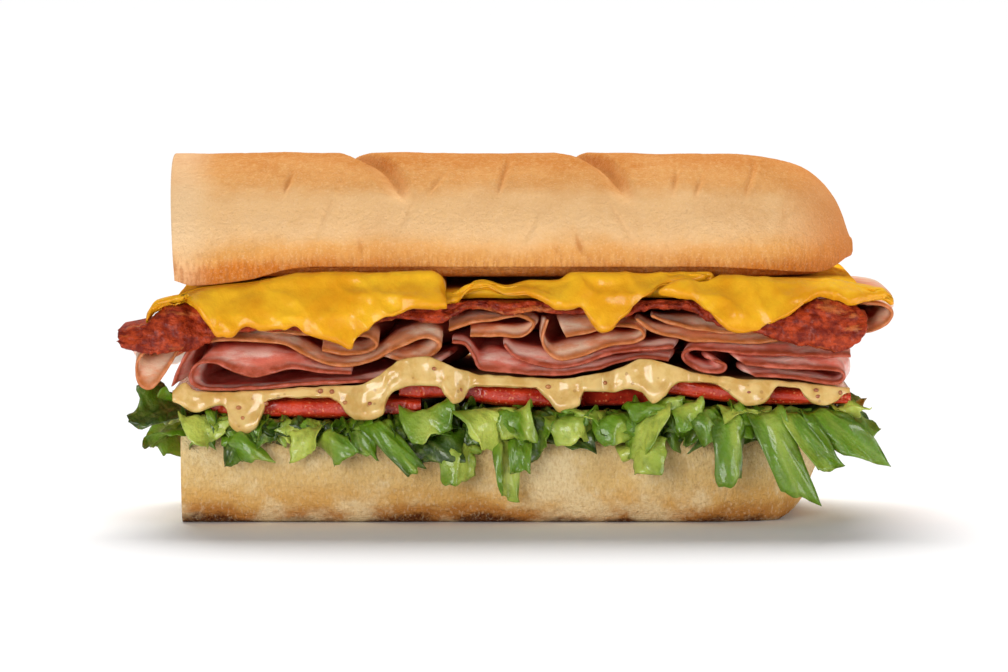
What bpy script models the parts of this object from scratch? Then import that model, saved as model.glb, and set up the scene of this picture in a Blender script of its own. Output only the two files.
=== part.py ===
"""Submarine sandwich, half of a long roll: the two bun halves, cheese, bacon, folded sliced
meats, a blanket of sauce, tomato slices and torn lettuce, each as a closed solid of its own.

All sizes below are millimetres. +X runs along the roll, -Y is the front, +Z is up, and the
origin is the middle of the flat base of the bottom bun.
"""

import math
import random

import bmesh
import bpy
from mathutils import Vector, noise

MM = 0.001

# Bun halves.
BUN_LEFT = -76.0
BUN_RIGHT = 76.0
BUN_HALF_DEPTH = 38.0
TOP_CROWN = 81.6
TOP_RIM = 57.7
TOP_BULGE = 55.3
BOTTOM_RIM = 19.9
BASE_LEFT = -74.7
BASE_RIGHT = 71.0
BASE_HALF_DEPTH = 37.6
CREASE_AT = (-33.6, 16.2)
CREASE_DEPTH = 2.6
CREASE_HALF_WIDTH = 4.2
CREASE_SLANT = 0.29
CUT_SLANT = 1.4

# Filling.
CHEESE_THICK = 2.0
BACON_THICK = 1.8
MEAT_THICK = 1.2
SAUCE_THICK = 1.5
LEAF_THICK = 0.8
LEAF_SPREAD = 1.3
CHEESE_LEVEL = 53.9
UNDER_CHEESE_LEVEL = 51.5
BACON_LEVEL = 49.3
TOMATO_FRONT = -38.5
CORE_HALF_DEPTH = 36.0
CORE_FLOOR = 20.4


def clamp(value, low, high):
    return max(low, min(high, value))


def smooth(value):
    value = clamp(value, 0.0, 1.0)
    return value * value * (3 - 2 * value)


def along(table, x):
    """Height from a short table of (x, height) pairs, straight between them."""
    if x <= table[0][0]:
        return table[0][1]
    for (x0, z0), (x1, z1) in zip(table, table[1:]):
        if x <= x1:
            return z0 + (z1 - z0) * (x - x0) / (x1 - x0)
    return table[-1][1]


def wave(x, y, seed):
    """Smooth unevenness between about -1 and 1."""
    return 1.6 * noise.noise(Vector((x, y, seed * 7.31)))


def spline(points, pieces):
    """Evenly spaced points of a smooth curve through the given ones."""
    fine = []
    for i in range(len(points) - 1):
        a = points[max(i - 1, 0)]
        b, c = points[i], points[i + 1]
        d = points[min(i + 2, len(points) - 1)]
        for k in range(12):
            t = k / 12
            fine.append(
                tuple(
                    0.5
                    * (
                        2 * q
                        + (r - p) * t
                        + (2 * p - 5 * q + 4 * r - s) * t * t
                        + (3 * q - p - 3 * r + s) * t**3
                    )
                    for p, q, r, s in zip(a, b, c, d)
                )
            )
    fine.append(tuple(points[-1]))
    run = [0.0]
    for a, b in zip(fine, fine[1:]):
        run.append(run[-1] + math.dist(a[:2], b[:2]))
    out = []
    k = 0
    for i in range(pieces + 1):
        want = run[-1] * i / pieces
        while k < len(run) - 2 and run[k + 1] < want:
            k += 1
        part = (want - run[k]) / max(run[k + 1] - run[k], 1e-9)
        out.append(tuple(a + (b - a) * part for a, b in zip(fine[k], fine[k + 1])))
    return out


def drift(point):
    """The filling lies a little differently towards the back of the roll."""
    x, y, z = point
    part = smooth(y / 42)
    middle = math.sin(math.pi * clamp((z - 22) / 30, 0, 1))
    return (x + 2.2 * part * middle, y, z + 0.8 * part * middle * math.sin(x / 13))


def material(name, colour, rough, coat=0.0):
    mat = bpy.data.materials.new(name)
    mat.use_nodes = True
    shader = mat.node_tree.nodes["Principled BSDF"]
    shader.inputs["Base Color"].default_value = (*colour, 1)
    shader.inputs["Roughness"].default_value = rough
    shader.inputs["Metallic"].default_value = 0.0
    shader.inputs["Coat Weight"].default_value = coat
    mat.diffuse_color = (*colour, 1)
    return mat


def finish(bm, name, mat, smooth_faces=True):
    """Turn a bmesh in millimetres into a named object in metres."""
    bmesh.ops.recalc_face_normals(bm, faces=bm.faces)
    bmesh.ops.scale(bm, vec=(MM, MM, MM), verts=bm.verts)
    mesh = bpy.data.meshes.new(name)
    bm.to_mesh(mesh)
    bm.free()
    if smooth_faces:
        mesh.shade_smooth()
    obj = bpy.data.objects.new(name, mesh)
    bpy.context.scene.collection.objects.link(obj)
    mesh.materials.append(mat)
    return obj


def slab(name, columns, rows, place, mat, smooth_faces=True):
    """A closed plate: place(u, v, side) gives a point of its upper (1) or lower (-1) face."""
    bm = bmesh.new()
    bmesh.ops.create_grid(bm, x_segments=columns, y_segments=rows, size=0.5)
    lower = list(bm.verts)
    spots = {v: (v.co.x + 0.5, v.co.y + 0.5) for v in lower}
    grown = bmesh.ops.extrude_face_region(bm, geom=list(bm.faces))
    upper = [g for g in grown["geom"] if isinstance(g, bmesh.types.BMVert)]
    for v in upper:
        u, w = v.co.x + 0.5, v.co.y + 0.5
        v.co = place(u, w, 1)
    for v in lower:
        v.co = place(*spots[v], -1)
    bmesh.ops.triangulate(bm, faces=bm.faces)
    return finish(bm, name, mat, smooth_faces)


def loaf(name, columns, rows, place, mat):
    """A closed tube of rings along X: place(u, v) gives a point, v running once round."""
    bm = bmesh.new()
    bmesh.ops.create_grid(bm, x_segments=columns, y_segments=rows, size=0.5)
    for v in bm.verts:
        u, w = v.co.x + 0.5, v.co.y + 0.5
        v.co = place(u, 0.0 if w > 0.9999 else w)
    bmesh.ops.remove_doubles(bm, verts=bm.verts, dist=0.001)
    bmesh.ops.holes_fill(bm, edges=bm.edges, sides=rows + 2)
    bmesh.ops.triangulate(bm, faces=bm.faces)
    return finish(bm, name, mat)


# The bun halves.


def half_depth_at(x, centre, reach, depth, power):
    """Half depth of a bun in plan: straight, then rounding off towards its right end."""
    if x <= centre:
        return depth
    part = clamp((x - centre) / reach, 0, 1)
    return depth * (1 - part**power) ** (1 / 2.2)


CROWN = ((54, 81.6), (60, 80.8), (65, 79.2), (69, 76.4), (72.5, 72), (74.6, 67), (76, 63))
RIM = (
    (-76, 54.6), (-72, 53.5), (-60, 54.7), (-50, 57.2), (-44, TOP_RIM), (42, TOP_RIM),
    (56, 56.9), (68, 56), (76, 59.2),
)


def top_place(u, v):
    x = BUN_LEFT + (BUN_RIGHT - BUN_LEFT) * (1 - (1 - u) ** 1.25)
    depth = half_depth_at(x, 42, 34.6, BUN_HALF_DEPTH, 2.3)
    crown = TOP_CROWN + 0.5 * wave(x / 30, 0, 1)
    crown = min(crown, along(CROWN, x) + 0.4) if x > 50 else crown
    rim = along(RIM, x)
    bulge = min(rim, TOP_BULGE + 3 * smooth((x - 66) / 10))
    under = 0.28
    if v < under:
        part = v / under
        y = depth * 0.955 * math.cos(math.pi * part)
        inward = smooth((depth * 0.955 - abs(y)) / 4.5)
        z = rim + (bulge - rim) * inward
        return (x, -y, z)
    part = (v - under) / (1 - under)
    angle = math.pi * part
    side = math.cos(angle)
    rise = math.sin(angle)
    y = depth * math.copysign(abs(side) ** 0.82, side)
    z = rim + (crown - rim) * rise**0.86
    tuck = 1 - 0.045 * (1 - smooth((z - rim) / 6))
    y *= tuck
    fade = smooth((z - 70) / 11)
    for centre in CREASE_AT:
        line = centre - CREASE_SLANT * y
        off = abs(x - line) / CREASE_HALF_WIDTH
        z -= CREASE_DEPTH * fade * (1 - smooth(off))
    lump = 0.35 * wave(x / 11, y / 11, 3) * smooth((z - rim - 1) / 8)
    slant = CUT_SLANT * (z - rim) / (TOP_CROWN - rim) * (1 - u) ** 8
    return (x - slant, y + lump * side, z + min(lump * rise, 0.2))


def bottom_place(u, v):
    x = BASE_LEFT + (BASE_RIGHT - BASE_LEFT) * (1 - (1 - u) ** 1.2)
    depth = half_depth_at(x, 38, 33.4, BASE_HALF_DEPTH, 2.4)
    low = along(((59, 0), (63, 2.6), (67.6, 10.4), (71, 17.5)), x)
    rim = BOTTOM_RIM
    top = 0.28
    if v < top:
        part = v / top
        y = depth * 0.97 * math.cos(math.pi * part)
        inward = smooth((depth * 0.97 - abs(y)) / 4)
        return (x, y, rim - 0.5 * inward)
    part = (v - top) / (1 - top)
    flat = 0.44
    if abs(part - 0.5) < flat / 2:
        y = depth * 0.74 * (part - 0.5) / (flat / 2)
        return (x, y, low)
    across = math.copysign(1, part - 0.5)
    climb = (abs(part - 0.5) - flat / 2) / (0.5 - flat / 2)
    angle = climb * math.pi
    y = depth * (0.74 + 0.26 * math.sin(min(angle * 0.62, math.pi / 2)) ** 0.8)
    y -= depth * 0.03 * smooth((climb - 0.7) / 0.3)
    z = low + (rim - low) * (1 - math.cos(angle)) / 2
    y += 0.3 * wave(x / 9, z / 6, 5) * math.sin(angle)
    return (x, across * y, z)


# The cheese slices: each lies under the top bun and hangs over the front.

LEFT_TOP = (
    (-82, 48.4), (-79.6, 50.6), (-74.4, 51.6), (-70, 52.9), (-57, 54.2), (-48, 56.6), (-17, 56.8),
)
LEFT_HEM = (
    (-82, 45.3), (-77, 49.1), (-75, 50.2), (-70, 47.8), (-65.8, 42.6), (-63.6, 42.4),
    (-59, 44.4), (-49, 44.4), (-43, 41.8), (-36.4, 39.7), (-32, 44), (-25, 47.6), (-15.3, 49.1),
)
MIDDLE_TOP = (
    (-27, 52.4), (-13, 52.7), (-8, 54.8), (-2.2, 53.9), (4, 55.1), (9, 55.1), (14, 56.7), (45, 56.8),
)
MIDDLE_HEM = (
    (-27, 49.1), (-15, 49.1), (-8.4, 53), (-4.7, 52), (-2, 50.9), (5.6, 50.4), (9, 48.7),
    (13.8, 48.7), (18.5, 43), (20.7, 43.6), (27, 49.1), (30, 51), (34, 53.6), (45, 54),
)
RIGHT_TOP = ((27, 56), (54, 55.6), (71, 54.8), (77.8, 53.6), (83.8, 51.6))
RIGHT_HEM = (
    (27, 52.7), (36, 51.3), (41, 48.4), (46, 44), (49.3, 43.1), (53.3, 43.1), (60, 47.1),
    (65.8, 51.7), (70.7, 52), (73.6, 50.4), (78, 51.5), (83.8, 49.8),
)


def cheese(name, left, right, top, hem, level, shoulder, hang, mat):
    """left and right give the x of the side edges for t from 0, the back, to 1, the hem."""
    rows = 8
    behind = level - 47.9

    def path(x):
        crest = min(along(top, x) - CHEESE_THICK / 2, 56.1)
        inner = min(level, crest + 0.2)
        low = along(hem, x) + 0.4
        fall = max(crest - low, 0.8)
        reach = shoulder - 1.2 - (shoulder - 1.2 - hang) * smooth(fall / 4)
        return (
            (40.3 + behind, inner - 4.6 - 1.6 * wave(x / 14, 1, level)),
            (38.6 + behind, inner - 1.2),
            (35.5, inner),
            (-30.5, inner),
            (-34.6, (inner + crest) / 2),
            (shoulder, crest),
            (shoulder + 0.35 * (reach - shoulder), crest - 0.22 * fall),
            (shoulder + 0.8 * (reach - shoulder), crest - 0.58 * fall),
            (reach, low),
        )

    def place(u, v, side):
        x = left(v) + (right(v) - left(v)) * u
        points = path(x)
        i = int(round(v * rows))
        y, z = points[i]
        back, ahead = points[max(i - 1, 0)], points[min(i + 1, rows)]
        run, rise = ahead[0] - back[0], ahead[1] - back[1]
        size = math.hypot(run, rise)
        half = side * CHEESE_THICK / 2
        y += 0.5 * wave(x / 8, 3, level) * smooth((abs(y) - 36) / 6)
        return drift((x, y + half * rise / size, z - half * run / size))

    return slab(name, 18, rows, place, mat)


# The bacon: long strips, wavy across, hanging over the edge of the meat.

FRONT_LOW = (
    (-88.5, 41.6), (-86, 39.4), (-77.6, 38.9), (-70, 39.6), (-65, 43.2), (-37, 43.8),
    (-26, 45.8), (-15.5, 45.6), (-8.6, 49.6), (-4, 47.4), (4, 48.2), (9.8, 47.1), (16, 47.2),
    (21, 45.6), (28, 48.4), (34.7, 49.6), (41, 46.7), (50, 43.6), (59, 41.1), (64, 41.1),
    (70.7, 38.9), (76, 41.2), (78, 45),
)
FRONT_LEVEL = (
    (-88.5, 43.4), (-81, 44.2), (-77, 47.6), (-72, BACON_LEVEL), (64, BACON_LEVEL),
    (70, 47.3), (78, 46.8),
)
FRONT_REACH = (
    (-88.5, -45.4), (-75, -45), (-70.5, -42.4), (-34, -42), (-28, -39.9), (30, -40),
    (48, -42.2), (56, -44.2), (78, -44.6),
)


def bacon(name, left, right, level, low, reach, inner, mirror, mat):
    rows = 5

    def place(u, v, side):
        x = left + (right - left) * u
        high = along(level, x)
        drop = max(high - along(low, x), 0.3)
        edge = along(reach, x)
        y = (inner, -36.5, (edge - 36.5) / 2 - 1.2, edge + 0.9, edge, edge)[int(round(v * rows))]
        y -= 0.4 * wave(x / 6, 2, 8) * v
        fall = (0, 0, 0.12, 0.38, 0.7, 1)[int(round(v * rows))]
        z = high - drop * fall
        ripple = 0.35 * math.sin(x / 2.6 + 3 * v) * (1 - abs(2 * v - 1))
        steep = smooth((v - 0.45) / 0.4)
        half = side * BACON_THICK / 2
        point = (x, y - half * steep + 0.3 * ripple * steep, z + ripple * 0.3 + half * (1 - steep))
        if mirror:
            point = (-point[0] - 4, -point[1], point[2])
            return drift(point)
        return point

    return slab(name, 24 if mirror else 38, rows, place, mat)


# The folded meat slices. Each is the line of its front edge, as (x, height, lift), where lift is
# how much higher the slice lies inside the roll, swept from the front to the back.

TURKEY = {
    "turkey_1": (
        -41.0, 40,
        ((-73.8, 42.0, 0), (-75.6, 38.4, 0), (-78, 34.4, 0), (-81.1, 30.9, 0), (-83.8, 32.4, 0),
         (-84.2, 36.4, 0), (-82.4, 39.1, 0), (-79.6, 40.5, 0)),
    ),
    "turkey_2": (
        -40.8, 38.2,
        ((-68.4, 41.3, 3), (-61.3, 41.6, 3), (-52.2, 40.9, 2.5), (-46.7, 38.4, 2), (-41.8, 36.4, 1),
         (-36.9, 35.8, 1), (-32, 36.9, 2), (-26.2, 40, 3), (-20.4, 42.2, 3), (-16.9, 40.6, 2),
         (-19, 37.9, 1), (-23.3, 37, 1)),
    ),
    "turkey_3": (
        -40.4, 38,
        ((-56.4, 43.6, 3), (-48, 42.9, 3), (-39.1, 42.2, 2.5), (-33.5, 42.4, 2.5), (-30.9, 40.5, 2.5),
         (-33.5, 38.7, 2), (-38, 38.4, 1.5), (-43.1, 39.3, 1.5)),
    ),
    "turkey_4": (
        -38.6, 38.2,
        ((-14.9, 43.6, 3), (-9.8, 45.3, 2), (-4.4, 46, 1.1), (0.7, 46.9, 0.2), (3.8, 45.1, 0.6),
         (1.1, 42.2, 1), (-4, 42.4, 1), (-10.2, 42.4, 1.6)),
    ),
    "turkey_5": (
        -38.8, 38.2,
        ((7.1, 46, 0.8), (5.8, 41.6, 1), (7.3, 38.4, 1), (10.4, 37, 1), (15.6, 38.4, 1),
         (20.7, 40.2, 1), (26, 40.9, 1), (28.4, 42.4, 1), (26.7, 44.2, 1.2), (21.3, 44.4, 2.4),
         (16.4, 43.2, 2.8), (11.1, 42.2, 2.8)),
    ),
    "turkey_6": (
        -39.6, 38.2,
        ((26.6, 46.2, 0.6), (30.9, 43.5, 1), (37.6, 41.7, 1), (45.3, 41.2, 1), (51.6, 40.9, 1),
         (60.9, 42, 1), (70.9, 42.9, 0), (78.2, 43.4, 0), (82, 44.9, 0), (83.5, 47.3, 0),
         (81.8, 49.2, 0), (77.8, 49.9, 0), (71.6, 49.9, 0)),
    ),
    "turkey_7": (
        -40.0, 38,
        ((30, 47, 0), (33.8, 45.4, 0.3), (40.9, 43.9, 0.6), (49.8, 43.2, 0.8), (58.7, 44.2, 0.8)),
    ),
}
HAM = {
    "ham_1": (-41.6, 41, ((-71.4, 41.4, 0), (-73.3, 38.4, 0), (-75.2, 34.9, 0), (-76.5, 31.3, 0))),
    "ham_2": (
        -42.8, 42,
        ((-20.4, 34.9, 1.6), (-27.6, 33.3, 0.8), (-35.8, 32.4, 0.2), (-45.8, 32.2, 0), (-56.4, 31.3, 0),
         (-66.9, 30.9, 0), (-71.6, 32, 0), (-72.3, 34.4, 1), (-70.3, 36.6, 2.4), (-67, 36.7, 3.4),
         (-62.2, 34.8, 4), (-58.2, 33.8, 4), (-53.6, 34.7, 3.4), (-48.7, 35.6, 2.4), (-42.4, 34.6, 1),
         (-36.4, 34.2, 0.6)),
    ),
    "ham_3": (
        -41.8, 42,
        ((-14.2, 41.2, 0.6), (-11.3, 40.9, 0.6), (-9.3, 38, 1), (-8, 35.5, 2), (-4.2, 34.7, 2.6),
         (3.1, 34.2, 2), (10.2, 34, 0.8), (18.2, 35.4, 0.6), (27.6, 37.6, 0.4), (33.8, 36.9, 0.8)),
    ),
    "ham_4": (
        -40.6, 40,
        ((-2.7, 40.4, 0.6), (-0.4, 38, 0.9), (4, 36.3, 1.6), (10.4, 35.5, 0.9), (16.4, 36.9, 0.9),
         (21.3, 38.5, 1), (28, 39.3, 1), (34.7, 40, 0.8)),
    ),
    "ham_5": (
        -41.4, 41,
        ((74.2, 38, 1.5), (63.1, 38.2, 1.5), (52, 38.6, 1.5), (43.6, 39.5, 0.8), (38.7, 39.6, 0.2),
         (36.9, 38, 0), (38.2, 36.2, 0), (42, 34.8, 0), (45.6, 34.6, 0), (46.6, 36, 0), (44.4, 37, 0)),
    ),
    "ham_6": (
        -42.6, 42,
        ((50.9, 36.4, 1.4), (57.6, 35.8, 1.8), (66.4, 35.3, 2), (71.6, 34.7, 1), (72.7, 33.2, 0),
         (70.7, 32, 0), (65.8, 32.7, 0), (59.8, 33.6, 0), (53.1, 33.8, 0)),
    ),
}


def folded(name, front, back, points, seed, mat):
    length = sum(math.dist(a[:2], b[:2]) for a, b in zip(points, points[1:]))
    pieces = int(clamp(length / 3.6, 8, 24))
    line = spline(points, pieces)
    stations = (front, -31.0, 31.0, back)
    rows = len(stations) - 1

    def place(u, v, side):
        i = int(round(u * pieces))
        x, z, lift = line[i]
        a, b = line[max(i - 1, 0)], line[min(i + 1, pieces)]
        k = int(round(v * rows))
        y = stations[k]
        inside = 0.0 if k in (0, rows) else 1.0
        run = b[0] - a[0]
        rise = b[1] - a[1] + inside * (b[2] - a[2])
        size = math.hypot(run, rise)
        half = side * MEAT_THICK / 2
        uneven = 0.5 * wave(x / 7, 0, seed) + 0.5 * wave(x / 19, z / 9, seed + 3)
        y += math.copysign(0.9, y) * (uneven - 0.4) * (1 - inside)
        return drift((x - half * rise / size, y, z + lift * inside + half * run / size))

    return slab(name, pieces, rows, place, mat)


# The tomato slices: flat cut flesh in front, the round skin behind.

TOMATO = {
    "tomato_1": (
        -72.6, -21.2, TOMATO_FRONT, 33,
        ((-73, 29.3), (-60, 29.0), (-32, 29.0), (-27, 28.9), (-21, 28.2)),
        ((-73, 25.4), (-64, 24.2), (-56, 23.6), (-41, 23.3), (-28, 24), (-21, 25.4)),
    ),
    "tomato_2": (
        -26.0, 13.6, TOMATO_FRONT, 35,
        ((-26, 31.6), (-20, 32.6), (-15, 32.8), (-9, 32.3), (1, 31.8), (14, 31)),
        ((-26, 30.2), (-23.5, 29.6), (-20.5, 28.9), (-15.6, 28), (-10.7, 27.1), (1, 25.8), (14, 25.8)),
    ),
    "tomato_3": (14.6, 32.2, -34.0, 30, ((14, 30.8), (33, 31.2)), ((14, 25.8), (33, 25.9))),
    "tomato_4": (
        33.2, 74.4, TOMATO_FRONT, 34,
        ((33, 33.6), (38, 33.2), (42, 32.5), (46, 32.1), (53, 31.6), (66, 30.9), (75, 29.9)),
        ((33, 29.1), (38, 28.2), (44, 27.3), (50, 26.7), (61, 26.4), (66, 26.6), (75, 26.9)),
    ),
}


def tomato(name, left, right, front, back, top, bottom, mat):
    columns, rows = 10, 4
    middle, reach = (left + right) / 2, (right - left) / 2

    def place(u, v, side):
        x = middle + reach * math.sin(math.pi * (u - 0.5)) if 0 < u < 1 else (left, right)[int(u)]
        roundness = math.sqrt(max(0, 1 - abs((x - middle) / reach) ** 2.6))
        depth = (back - front) * (0.34 + 0.66 * roundness)
        y = front + depth * v
        high, low = along(top, x), along(bottom, x)
        pinch = 0.5 * smooth((v - 0.72) / 0.28)
        z = high - pinch if side > 0 else low + pinch
        return drift((x, y, z))

    return slab(name, columns, rows, place, mat)


# The sauce: a thin blanket over the tomato with a thicker, dripping front edge.

SAUCE_LEVEL = (
    (-76.4, 29.9), (-72, 29.9), (-58, 29.6), (-33, 29.65), (-29.5, 30.4), (-26.4, 32.5),
    (-20, 33.3), (-15, 33.45), (-9, 32.95), (1, 32.4), (14, 31.7), (29, 31.9), (32.4, 34.3),
    (38, 33.9), (42, 33.1), (46, 32.7), (53, 32.2), (66, 31.5), (74.2, 30.6),
)
SAUCE_HEM = (
    (-76.4, 27.6), (-71, 25.8), (-65.4, 26.6), (-62.4, 22.9), (-58.4, 22.6), (-55.2, 27.6),
    (-50, 28.6), (-41.8, 28.4), (-37.8, 25.4), (-32, 24.6), (-28.4, 28), (-26.7, 30),
    (-18, 30.8), (-14, 27.9), (-10.4, 30.4), (2, 30.6), (6.7, 28.7), (9.8, 26.3), (13.8, 27.2),
    (15.5, 29.8), (26, 29.6), (30.2, 28.4), (34, 31.2), (43, 31.4), (48.7, 28.6), (52.5, 27.4),
    (57.5, 30.4), (63, 30), (66.5, 27.6), (70, 27.4), (74.2, 29),
)


def sauce(name, mat):
    columns, rows = 46, 6

    def place(u, v, side):
        x = -76.2 + 150.2 * u
        level = along(SAUCE_LEVEL, x)
        low = along(SAUCE_HEM, x)
        fall = max(level - low, 1.2)
        i = int(round(v * rows))
        path = (
            (34.5, level, 0.5),
            (-33.0, level, 0.5),
            (-38.6, level, 0.55),
            (-40.3, level - 0.3, 0.9),
            (-41.0, level - 0.3 * fall, 1.2),
            (-41.3, level - 0.72 * fall, SAUCE_THICK),
            (-40.9, level - fall + 0.15, 0.9),
        )
        y, z, thick = path[i]
        a, b = path[max(i - 1, 0)], path[min(i + 1, rows)]
        run, rise = b[0] - a[0], b[1] - a[1]
        size = math.hypot(run, rise)
        half = side * thick / 2
        if i > 3:
            y -= 0.25 * (1 + wave(x / 5, 1, 12))
        return drift((x, y + half * rise / size, z - half * run / size))

    return slab(name, columns, rows, place, mat)


# The lettuce: a low core with torn pieces coming out of it on every side.

CORE_TOP = (
    (-72, 24.7), (-64, 23.8), (-56, 23.2), (-41, 22.9), (-28, 23.4), (-20.5, 23.8), (-16.5, 26.6),
    (-10.7, 26.5), (1, 25.3), (14, 25.1), (33, 25.1), (38.5, 27), (44, 26.7), (50, 26.2),
    (61, 26), (72, 26.2),
)
# x and height where a front piece comes out, x and height of its tip, its width, its reach.
FRONT_LEAVES = (
    (-69.5, 22.8, -68, 18.4, 8, -42), (-62.8, 20.8, -57.6, 15.3, 5, -44),
    (-46.7, 21.6, -46.4, 15.8, 6, -42.6), (-42, 21.2, -37.4, 15.4, 5, -44),
    (-36.6, 22.4, -33.2, 16.8, 4, -42.4), (-31.6, 22.4, -22.8, 13.2, 6, -43.8),
    (-19.6, 24.4, -18.8, 20, 8, -43.4), (-7.4, 24.4, -5.6, 17, 13, -44.2),
    (-12.6, 21.2, -11.8, 10.4, 7, -42.8), (-2.2, 21.2, -2.4, 7, 6.4, -42.4),
    (3.4, 22.8, 6.2, 17.2, 6, -42.2), (11.6, 24.4, 13.4, 19.4, 9, -43.8),
    (22.6, 24.8, 22.8, 19.6, 8, -43), (30.6, 26.8, 31, 24.4, 9, -42.6),
    (28, 22.4, 27.4, 11.8, 8.4, -44.6), (38.4, 26.4, 38.6, 22, 4.6, -42.4),
    (41.8, 25.6, 44, 19.6, 3.6, -43.4), (47.6, 23.6, 48.6, 10.9, 7, -44.6),
    (54, 24.4, 63, 6.9, 6, -45.6), (61, 24.6, 69, 13.4, 5, -44.2),
    (66.4, 25.2, 77.6, 16, 7.6, -42.6),
)
# The same for the ends: side, y of the root, height, reach beyond the core, fall, width.
END_LEAVES = (
    (-1, -31, 23.8, 14, -2.6, 8), (-1, -27, 21.8, 9.6, 4.6, 7), (-1, -8, 22.6, 9, 4, 9),
    (-1, 12, 23, 7, 3, 8), (-1, 27, 22, 10, 5, 8), (1, -22, 24.4, 8, 6, 8),
    (1, -2, 23.4, 9, 5, 9), (1, 18, 24, 7, 4, 8),
)


def leaf(bm, root, knee, tip, across, width, long, seed):
    """A torn piece: a thin wavy band from root over knee to tip, both faces split alike."""
    wide = 2
    path = spline((root, tuple((a + b) / 2 for a, b in zip(root, knee)), knee, tip), long)
    draw = random.Random(seed)
    taper = draw.uniform(0.72, 1.0)
    phase = draw.uniform(0, 6.28)
    across = Vector(across).normalized()
    rows = []
    for i in range(long + 1):
        t = i / long
        spot = Vector(path[i])
        step = Vector(path[min(i + 1, long)]) - Vector(path[max(i - 1, 0)])
        up = across.cross(step).normalized()
        spread = (0.55 + 0.45 * smooth(t / 0.45)) * (1 - (1 - taper) * smooth((t - 0.6) / 0.4))
        half = LEAF_SPREAD * width / 2 * spread
        row = []
        for j in range(wide + 1):
            s = 2 * j / wide - 1
            ripple = 0.55 * math.sin(phase + 3.2 * s + 4 * t) * smooth((t - 0.3) / 0.4)
            centre = spot + across * (half * s) + up * ripple
            if i == long and j == 1:
                centre += step.normalized() * draw.uniform(-0.8, 1.2)
            half_up = up * LEAF_THICK / 2
            row.append((bm.verts.new(centre + half_up), bm.verts.new(centre - half_up)))
        rows.append(row)
    for face in (0, 1):
        for i in range(long):
            for j in range(wide):
                a, b = rows[i][j][face], rows[i + 1][j][face]
                c, d = rows[i + 1][j + 1][face], rows[i][j + 1][face]
                bm.faces.new((a, b, c))
                bm.faces.new((a, c, d))
    edge = [(i, 0) for i in range(long)] + [(long, j) for j in range(wide)]
    edge += [(i, wide) for i in range(long, 0, -1)] + [(0, j) for j in range(wide, 0, -1)]
    for (i, j), (k, m) in zip(edge, edge[1:] + edge[:1]):
        bm.faces.new((rows[i][j][0], rows[i][j][1], rows[k][m][1], rows[k][m][0]))
    bmesh.ops.triangulate(bm, faces=[f for f in bm.faces if len(f.verts) > 3])


def lettuce(name, mat):
    def place(u, v, side):
        x = -71.5 + 143.5 * u
        depth = CORE_HALF_DEPTH * (1 - 0.3 * smooth((x - 52) / 20))
        y = depth * (2 * v - 1)
        if side < 0:
            return drift((x, y, CORE_FLOOR))
        return drift((x, y, along(CORE_TOP, x) - 0.4 * smooth((abs(y) - 30) / 6)))

    core = slab(name, 26, 3, place, mat)
    pieces = bpy.data.collections.new("leaves")
    bpy.context.scene.collection.children.link(pieces)

    def add(number, *args):
        bm = bmesh.new()
        leaf(bm, *args, seed=number)
        obj = finish(bm, f"leaf_{number}", mat)
        bpy.context.scene.collection.objects.unlink(obj)
        pieces.objects.link(obj)

    number = 0
    for x, z, tip_x, tip_z, width, reach in FRONT_LEAVES:
        number += 1
        inner = clamp(z, CORE_FLOOR + 0.8, along(CORE_TOP, x) - 1.2)
        add(
            number,
            (x, 4.0 - CORE_HALF_DEPTH * (1 - 0.3 * smooth((x - 52) / 20)), inner),
            (x + 0.2 * (tip_x - x), reach + 1.4, max(z - 0.6, 21.0)),
            (tip_x, reach - 0.4, tip_z),
            (1, 0, 0.1),
            width,
            4,
        )
    draw = random.Random(5)
    for i in range(11):
        number += 1
        x = -66 + 12.8 * i + draw.uniform(-3, 3)
        x = min(x, 58)
        inner = clamp(draw.uniform(21.4, 25.5), CORE_FLOOR + 0.8, along(CORE_TOP, x) - 1.0)
        reach = draw.uniform(40.5, 43.5)
        tip_x = x + draw.uniform(-4, 4)
        tip_z = draw.uniform(9, 18)
        root, knee, tip = (x, 32.0, inner), (x, reach - 1.5, inner - 0.8), (tip_x, reach, tip_z)
        add(number, root, knee, tip, (1, 0, 0), draw.uniform(5, 9), 3)
    for side, y, z, reach, fall, width in END_LEAVES:
        number += 1
        start = -67.0 if side < 0 else 67.0
        z = clamp(z, CORE_FLOOR + 0.8, along(CORE_TOP, start) - 1.0)
        out = start + side * 4.5
        add(
            number,
            (start, y, z),
            (out + side * 0.55 * reach, y - 2, z + 0.2 - 0.3 * fall),
            (out + side * reach, y - 4, z - fall),
            (0.15, 1, 0.25),
            width,
            3,
        )
    join = core.modifiers.new("leaves", "BOOLEAN")
    join.operation = "UNION"
    join.operand_type = "COLLECTION"
    join.collection = pieces
    join.solver = "MANIFOLD"
    bpy.context.view_layer.update()
    graph = bpy.context.evaluated_depsgraph_get()
    joined = bpy.data.meshes.new_from_object(core.evaluated_get(graph))
    core.modifiers.clear()
    core.data = joined
    joined.shade_smooth()
    for obj in list(pieces.objects):
        bpy.data.objects.remove(obj, do_unlink=True)
    bpy.data.collections.remove(pieces)
    return core


def straight(x):
    return lambda t: x


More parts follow.
